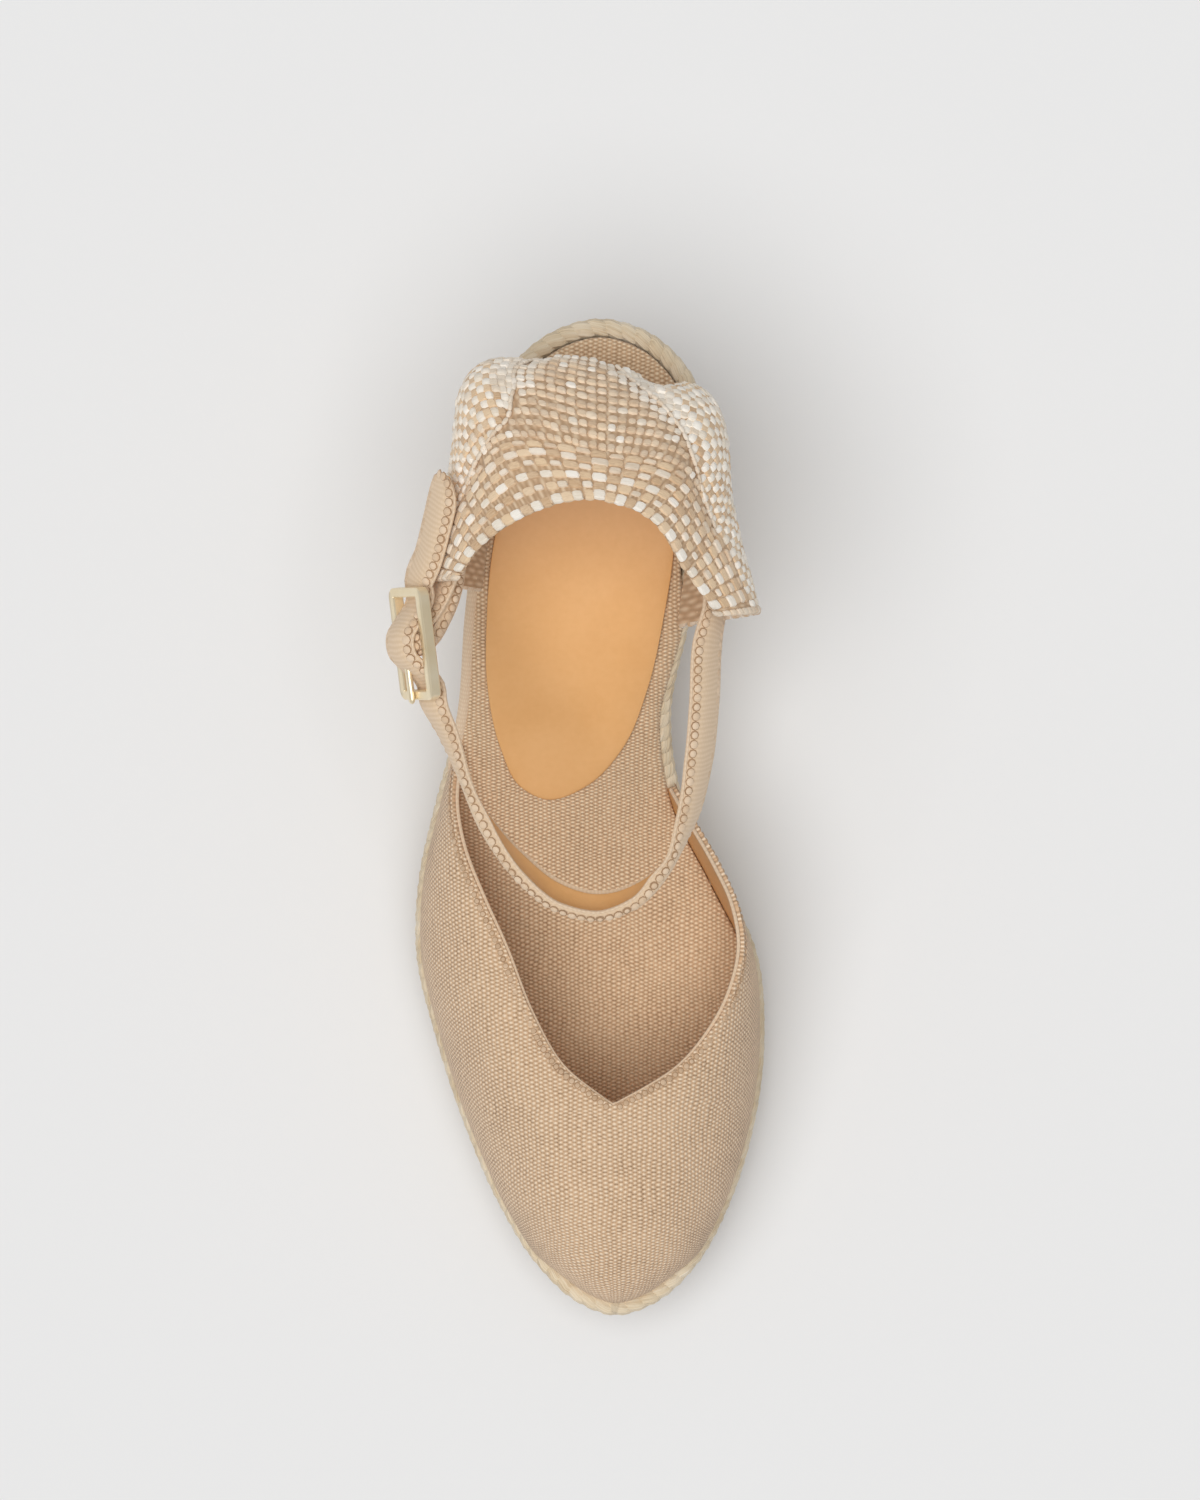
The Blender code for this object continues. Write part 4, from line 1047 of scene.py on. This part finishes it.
white = np.maximum(np.where(isFloat, white, 0.12 * luck), patched * (0.72 + 0.2 * luck))
depth = np.where(isFloat, 0.95, np.where(atTop, 1.10, 1.20)) * bandLook["halfThick"]
places, right, ahead, out = bandFace(cellU, cellV, depth)
kinds = [isFloat & atTop & isLarge, isFloat & atTop, isFloat & atMiddle, isFloat, atTop]
wide, tall = np.array(bandLook["yarnSizes"])[np.select(kinds, list(range(5)), 5)].T
sizes = np.column_stack([cellWide * wide, cellTall * tall, np.full(len(cells), bandLook["halfThick"])])
sizes = sizes * (1 + 0.06 * chance.standard_normal((len(cells), 3)))
places = places + 0.10 * chance.standard_normal(places.shape)
square = lump(3.6, ((-0.4, 0.95), (0.35, 1.0), (0.82, 0.80)))
plump = lump(2.6, ((-0.4, 0.95), (0.25, 1.0), (0.80, 0.70)))
yarns, yarnWhite, yarnTone = [], [], []


def addYarns(shape, places, right, ahead, out, sizes, pale):
    yarns.append(scatter(shape, places, right, ahead, out, sizes))
    yarnWhite.append(np.repeat(pale, len(shape[0])))
    yarnTone.append(np.repeat(chance.random(len(places)), len(shape[0])))


for shape, chosen in ((square, atTop | ~isFloat), (plump, isFloat & ~atTop)):
    addYarns(shape, *(values[chosen] for values in (places, right, ahead, out, sizes, white)))
loopV = np.arange(0.5, bandLook["height"] / bandLook["loop"]) * bandLook["loop"] / bandLook["height"]
halfBand = bandLook["thickness"] / 2
sizes = np.tile((1.0, bandLook["loopHigh"] * bandLook["loop"], halfBand), (len(loopV), 1))
for end in bandLook["ends"]:  # the yarns turn round the front edges
    loops = bandFace(np.full(len(loopV), end), loopV, np.full(len(loopV), halfBand))
    addYarns(plump, *loops, sizes, 0.25 + 0.5 * chance.random(len(loopV)))
ridge = bandLook["ridge"]
for crease in bandLook["creases"]:  # pale floats lie along each crease
    line = evenly(smoothCurve(crease, 8), 60)
    path = bandPlain(line[:, 0], line[:, 1])
    ridgeU, ridgeV = evenly(np.column_stack([path, line]), int(lengths(path)[-1] / ridge["spacing"]))[:, 3:].T
    places, *_, out = bandFace(ridgeU, ridgeV, np.full(len(ridgeU), ridge["depth"]))
    ahead = unit(np.gradient(places, axis=0))
    sizes = np.array(ridge["size"]) * (0.8 + 0.4 * chance.random((len(places), 3)))
    pale = ridge["white"] * (0.6 + 0.4 * chance.random(len(places)))
    addYarns(plump, places, unit(np.cross(ahead, out)), ahead, out, sizes, pale)
band = newMesh("heelBandWeave", *joined(yarns))
pointValues(band, "white", np.concatenate(yarnWhite))
pointValues(band, "tone", np.concatenate(yarnTone))
finishPiece(band, bandYarn, "woven_band", "heel_band")

sheetU, sheetV = np.meshgrid(np.linspace(*bandLook["ends"], 161), np.linspace(0.01, 0.985, 49), indexing="ij")
sheetPoints = bandFace(sheetU, sheetV, np.full(sheetU.shape, bandLook["groundDepth"]))[0]
sheetMap = np.stack([sheetU * bandLook["girth"], sheetV * bandLook["height"]], 2)
backing = gridPiece("heelBandGround", sheetPoints, sheetMap, flip=True)
wall(backing, bandLook["groundThick"])
finishPiece(backing, bandCanvas, "woven_band")
print("heel band made", len(cells), "floats")


# Ankle strap: canvas outside, leather inside, a row of knots along both edges
strapLook = {
    "width": 11.0,
    "thickness": 1.7,
    "canvas": 1.15,
    "step": 1.3,
    "inBand": 0.73,
    "bandGap": (
        (0.03, 0.7), (0.10, 0.8), (0.18, 0.9), (0.26, 0.9), (0.34, 0.9), (0.42, 0.9), (0.50, 0.9),
        (0.58, 0.9), (0.66, 0.9), (0.74, 0.9), (0.82, 1.2), (0.90, 2.6), (0.97, 5.6),
    ),
    "loop": (  # x, y, z and the top edge's lean towards the ankle in degrees
        (24.6, 23.6, 105.0, 29.0), (24.0, 11.2, 102.8, 29.0), (22.8, -2.2, 100.2, 27.0),
        (20.2, -15.7, 97.4, 17.0), (15.2, -26.9, 95.2, -6.0), (8.6, -33.3, 93.8, -32.0),
        (0.0, -36.0, 93.2, -45.0), (-9.9, -33.6, 93.6, -46.0), (-18.6, -26.7, 95.0, -36.0),
        (-26.0, -17.2, 97.0, -18.0), (-31.0, -6.4, 99.4, 2.0), (-34.8, 3.6, 101.8, 16.0),
    ),
    "tail": (
        (-38.9, 43.0, 108.6, 29.0), (-37.0, 50.0, 110.4, 30.0),
        (-35.6, 56.0, 111.8, 30.0), (-34.6, 61.0, 112.8, 30.0),
    ),
    "foldInner": (  # along and out of the buckle's face
        (16.4, -13.4), (11.0, -11.8), (6.6, -9.6), (3.2, -7.2), (0.4, -4.9),
    ),
    "foldAngles": (-35, 0, 40, 80),
    "foldOuter": ((3.4, 0.4), (6.8, -3.4), (10.4, -6.4)),
    "climb": (5.6, 1.35),
    "crest": 2.4,
    "endReach": 1.6,
    "stitchSpacing": 2.1,
    "stitchIn": 1.4,
    "stitch": (0.86, 0.86, 0.42),
    "stitchPale": 0.9,
    "lowerStitchSunk": 0.3,
    "liningIn": 1.5,
    "liningGap": 0.05,
    "bow": 16.0,  # turn in degrees of the cloth at its edges, from the middle of the strap
    "curls": (45.0, 125.0),  # further turn of the top edge, and the same where the strap's face looks down
    "curlFrom": 1.4,  # distance above the middle at which the top edge starts to turn in
    "piping": (0.36, 0.30),  # half width and half height of the plain folded strip along each edge
    "pipingRise": 0.12,
    "tip": 7.0,  # length of the rounded end
    "tipBlunt": 0.3,
}
buckleLook = {
    "centre": (-41.4, 23.8, 105.6),
    "along": (-0.118, 0.990, 0.075),
    "lean": 27.0,
    "length": 25.2,
    "width": 15.8,
    "thickness": 1.8,
    "endBar": 1.9,
    "bar": 2.1,  # width of the frame's bar at the ends, then along its sides, and its height
    "longBar": 2.7,
    "barHigh": 2.6,
    "bevel": 0.28,
    "corner": 2.2,
    "centreBar": 1.6,
    "barCorner": 0.62,  # from the middle of the centre bar to its corner, as a share of its width
    "barRadius": 0.85,
    "prong": 0.75,
    "prongWrap": 250.0,
    "prongTip": -13.4,
    "pin": (0.95, 0.7),  # half width and half height
    "pinDown": 0.8,  # the pin lies this far below the frame's middle
    "pinRound": 1.1,  # length of its rounded end
}

upright = np.array((0.0, 0.0, 1.0))
buckleRun = unit(np.array(buckleLook["along"]))
levelOut = unit(np.cross(upright, buckleRun))
leanAngle = math.radians(buckleLook["lean"])
buckleOut = levelOut * math.cos(leanAngle) + upright * math.sin(leanAngle)
buckleOut = unit(buckleOut - buckleRun * np.dot(buckleOut, buckleRun))
buckleUp = unit(np.cross(buckleRun, buckleOut))
barReach = buckleLook["centreBar"] * buckleLook["barCorner"] + soleShape["gap"]


def atBuckle(along, out, across=0.0):
    return np.array(buckleLook["centre"]) + buckleRun * along + buckleOut * out + buckleUp * across


def leaningStations(rows):
    places = np.array(rows)[:, :3]
    run = unit(np.gradient(places, axis=0))
    side = unit(np.cross(upright, run))
    lean = np.radians(np.array(rows)[:, 3:4])
    up = upright * np.cos(lean) - side * np.sin(lean)
    return np.column_stack([places, unit(up - run * np.sum(up * run, 1, keepdims=True))])


def strapStations():
    roundBar = barReach + strapLook["thickness"] / 2
    angles = [math.radians(angle) for angle in strapLook["foldAngles"]]
    bend = [(-roundBar * math.cos(a), roundBar * math.sin(a)) for a in angles]
    fold = [*strapLook["foldInner"], *bend, *strapLook["foldOuter"]]
    under = -(buckleLook["thickness"] / 2 + soleShape["gap"] + strapLook["thickness"] / 2)
    over = roundBar + strapLook["thickness"] + soleShape["gap"]
    endBar = (buckleLook["length"] - buckleLook["endBar"]) / 2
    reach = strapLook["endReach"]
    crest = (strapLook["crest"], over * 0.93)
    half = [(endBar + reach, under), (endBar - reach, under), strapLook["climb"], crest]
    through = [*((-s, n) for s, n in half), (0.0, over + 0.1), *reversed(half)]
    return np.vstack([
        np.array([np.concatenate([atBuckle(*place), buckleUp]) for place in fold]),
        bandStations(),
        leaningStations(strapLook["loop"]),
        np.array([np.concatenate([atBuckle(*place), buckleUp]) for place in through]),
        leaningStations(strapLook["tail"]),
    ])


def bandStations():  # the strap's run inside the heel band
    u, gap = np.array(strapLook["bandGap"]).T
    v = np.full(len(u), strapLook["inBand"])
    out, _, up = bandOut(u, v)
    deep = bandLook["thickness"] + gap + strapLook["thickness"] / 2
    return np.column_stack([bandPlain(u, v) - out * deep[:, None], up])


stations = strapStations()
middle = smoothCurve(stations[:, :3], 10)
places = np.arange(len(middle)) / 10
ways = np.stack([np.interp(places, np.arange(len(stations)), stations[:, c]) for c in (3, 4, 5)], 1)
strapLine = evenly(np.column_stack([middle, ways]), int(lengths(middle)[-1] / strapLook["step"]))
strapMiddle, strapUp = strapLine[:, :3], strapLine[:, 3:]
strapRun = unit(np.gradient(strapMiddle, axis=0))
strapUp = unit(strapUp - strapRun * np.sum(strapRun * strapUp, 1, keepdims=True))
strapOut = unit(np.cross(strapUp, strapRun))
strapAlong = lengths(strapMiddle)
tipTaper = np.clip((strapAlong[-1] - strapAlong) / strapLook["tip"], 0, 1)
tipTaper = np.sqrt(1 - (1 - tipTaper) ** 2) * (1 - strapLook["tipBlunt"]) + strapLook["tipBlunt"]
curled = softStep(-strapOut[:, 2], -0.1, 0.3)  # where the strap's face looks down


def strapSection(curl):  # distance up the cloth from its middle, then its place, its depth and its turn
    half, count = strapLook["width"] / 2, 45
    up = np.linspace(-half, half, 2 * count + 1)
    turn = strapLook["bow"] * up / half
    turn += curl * np.clip((up - strapLook["curlFrom"]) / (half - strapLook["curlFrom"]), 0, 1) ** 1.5
    turn = np.radians(turn)
    across = np.cumsum(np.cos(turn)) * half / count
    depth = -np.cumsum(np.sin(turn)) * half / count
    return up, across - across[count], depth - depth[count], turn


def onStrap(distance, lift):  # points this far up the strap's cloth and out of it, and the way out at each
    shapes = []
    for curl in strapLook["curls"]:
        up, *columns = strapSection(curl)
        shapes.append([np.interp(distance * tipTaper, up, column) for column in columns])
    across, depth, turn = (plain + (more - plain) * curled for plain, more in zip(*shapes))
    facing = strapOut * np.cos(turn)[:, None] + strapUp * np.sin(turn)[:, None]
    return strapMiddle + strapUp * across[:, None] + strapOut * depth[:, None] + facing * lift, facing


def ribbon(name, halfWidth, inner, outer):  # strip with rounded edges between two depths of the strap
    halfThick = (outer - inner) / 2
    turn = np.linspace(0, math.pi, 5)
    section = [(halfWidth - halfThick + halfThick * math.sin(a), halfThick * math.cos(a)) for a in turn]
    flat = np.linspace(1, -1, 15)[1:-1] * (halfWidth - halfThick)
    section += [(x, -halfThick) for x in flat]
    section += [(-halfWidth + halfThick - halfThick * math.sin(a), -halfThick * math.cos(a)) for a in turn]
    section += [(x, halfThick) for x in -flat]
    section = np.array(section)
    points = np.stack([onStrap(x, (inner + outer) / 2 + lift)[0] for x, lift in section], 1)
    around = np.concatenate([[0], np.cumsum(np.linalg.norm(np.diff(section, axis=0), axis=1))])
    uv = np.stack(np.broadcast_arrays(strapAlong[:, None], around[None, :]), 2)  # ribs lie across the strap
    return newMesh(name, points.reshape(-1, 3), ringFaces(*points.shape[:2], False), uv.reshape(-1, 2))


halfStrap = strapLook["thickness"] / 2
strap = ribbon("canvasStrap", strapLook["width"] / 2, halfStrap - strapLook["canvas"], halfStrap)
finishPiece(strap, strapCanvas, "canvas", "ankle_strap")
liningTop = halfStrap - strapLook["canvas"] - strapLook["liningGap"]
strapLining = ribbon("strapLining", strapLook["width"] / 2 - strapLook["liningIn"], -halfStrap, liningTop)
finishPiece(strapLining, liningLeather, "leather")
strapKnots, pipings = [], []
for side in (-1, 1):
    sunk = strapLook["lowerStitchSunk"] if side < 0 else 0.0
    line, facing = onStrap(side * (strapLook["width"] / 2 - strapLook["stitchIn"]), halfStrap - sunk)
    knotSizes = (strapLook[size] for size in ("stitchSpacing", "stitch", "stitchPale"))
    strapKnots.append(stitchRow(line, facing, *knotSizes))
    halfWide, halfHigh = strapLook["piping"]
    pipingLift = halfStrap + strapLook["pipingRise"] - halfHigh
    line, facing = onStrap(side * (strapLook["width"] / 2 - halfWide), pipingLift)
    pipings.append(tube(line, unit(np.cross(strapRun, facing)), facing, halfWide * tipTaper, halfHigh, 10))
stitchPiece("strapStitches", strapKnots)
piping = newMesh("strapPiping", *joined(pipings))
finishPiece(piping, edgeTape, "canvas")
print("strap made")


# Buckle: rectangular frame of bevelled bar with a centre bar, its pin lying over the toe end
def framePath():  # middle line of the frame: along, across and the way out at each point
    radius = buckleLook["corner"] - buckleLook["bar"] / 2
    halfAlong = (buckleLook["length"] - buckleLook["bar"]) / 2 - radius
    halfAcross = (buckleLook["width"] - buckleLook["bar"]) / 2 - radius
    line = []
    for corner, (sideAlong, sideAcross) in enumerate(((1, 1), (-1, 1), (-1, -1), (1, -1))):
        for share in np.linspace(0, 1, 7):
            turn = math.radians(90 * (corner + share))
            way = (math.cos(turn), math.sin(turn))
            place = (sideAlong * halfAlong + radius * way[0], sideAcross * halfAcross + radius * way[1])
            line.append((*place, *way))
    return np.array(line)


def buckleFrame():
    half, high, cut = buckleLook["bar"] / 2, buckleLook["barHigh"] / 2, buckleLook["bevel"]
    section = [
        (half, -high + cut), (half, high - cut), (half - cut, high), (-half + cut, high),
        (-half, high - cut), (-half, -high + cut), (-half + cut, -high), (half - cut, -high),
    ]
    path = framePath()
    broad = 1 + (buckleLook["longBar"] / buckleLook["bar"] - 1) * np.abs(path[:, 3])  # more on the long bars
    points = np.array([
        [atBuckle(a + wayA * n * b, h, c + wayC * n * b) for n, h in section]
        for (a, c, wayA, wayC), b in zip(path, broad)
    ])
    return newMesh("buckleFrame", points.reshape(-1, 3), ringFaces(len(path), len(section), True))


buckle = buckleFrame()
pick(buckle)
bpy.ops.object.mode_set(mode="EDIT")
bpy.ops.mesh.select_all(action="SELECT")
bpy.ops.mesh.normals_make_consistent(inside=False)
bpy.ops.object.mode_set(mode="OBJECT")
finishPiece(buckle, paleGold, "pale_gold_metal", "buckle_frame")

barEnds = np.linspace(-1, 1, 12) * (buckleLook["width"] - buckleLook["bar"]) / 2
barPath = np.array([atBuckle(0.0, 0.0, x) for x in barEnds])
barRun, barOut = (np.tile(way, (len(barPath), 1)) for way in (buckleRun, buckleOut))
barShape = tube(barPath, barRun, barOut, buckleLook["barRadius"], buckleLook["barRadius"], 12)
bar = newMesh("buckleBar", *barShape)
finishPiece(bar, paleGold, "pale_gold_metal")

eye = barReach + buckleLook["prong"]
rest = buckleLook["thickness"] / 2 + soleShape["gap"] + buckleLook["prong"]
wrap = np.radians(90 - buckleLook["prongWrap"] * (1 - np.arange(15) / 14))
pinPlan = [(eye * math.cos(a), eye * math.sin(a)) for a in wrap]
leave, tip = np.array((-1.0, eye)), np.array((buckleLook["prongTip"], rest))
pinPlan += [tuple(leave + (tip - leave) * share) for share in (0.12, 0.3, 0.5, 0.7, 0.85, 0.94, 1.0)]
pinPath = smoothCurve([atBuckle(*place, -buckleLook["pinDown"]) for place in pinPlan], 3)
pinRun = unit(np.gradient(pinPath, axis=0))
pinSide = np.tile(buckleUp, (len(pinPath), 1))
pinAlong = lengths(pinPath)
toTip = np.clip((pinAlong[-1] - pinAlong) / buckleLook["pinRound"], 0, 1)
rounded = np.sqrt(np.clip(1 - (1 - toTip) ** 2, 0.02, 1))
pinSizes = (half * rounded for half in buckleLook["pin"])
pin = newMesh("bucklePin", *tube(pinPath, pinSide, unit(np.cross(pinRun, pinSide)), *pinSizes, 12))
finishPiece(pin, paleGold, "pale_gold_metal", "buckle_prong")
print("buckle made")


# Floor, light and camera: straight down, as the photograph was taken
stageLook = {"floor": "#E8E8E8", "sky": 0.30, "sun": 2.24, "sunSpread": 52.0, "sunFrom": (-0.12, -0.12, 1.0)}
bpy.ops.object.select_all(action="DESELECT")
bpy.ops.mesh.primitive_plane_add(size=8.0)
floor = bpy.context.object
floor.name = floor.data.name = "floor"
# matt paper, rolled out
paper = newMaterial("palePaper", 0.9, Base_Color=linear(stageLook["floor"]), Specular_IOR_Level=0.1)[0]
floor.data.materials.append(paper)

world = bpy.data.worlds.new("studio")
bpy.context.scene.world = world
world.use_nodes = True
world.node_tree.nodes["Background"].inputs["Color"].default_value = (1.0, 1.0, 1.0, 1.0)
world.node_tree.nodes["Background"].inputs["Strength"].default_value = stageLook["sky"]
sun = bpy.data.lights.new("window", "SUN")
sun.energy = stageLook["sun"]
sun.angle = math.radians(stageLook["sunSpread"])
sunLamp = bpy.data.objects.new("window", sun)
bpy.context.scene.collection.objects.link(sunLamp)
away = unit(np.array(stageLook["sunFrom"]))
sunLamp.rotation_euler = (math.acos(away[2]), 0.0, math.atan2(away[0], -away[1]))

cameraLook = {"height": 1.5, "lens": 149.8, "sensor": 36.0}
bpy.ops.object.camera_add(location=(0.0, 0.0, cameraLook["height"]), rotation=(0.0, 0.0, 0.0))
camera = bpy.context.object
camera.data.lens = cameraLook["lens"]
camera.data.sensor_width = cameraLook["sensor"]
camera.data.clip_end = 20.0
bpy.context.scene.camera = camera
bpy.context.scene.view_settings.view_transform = "Standard"
print("stage set")
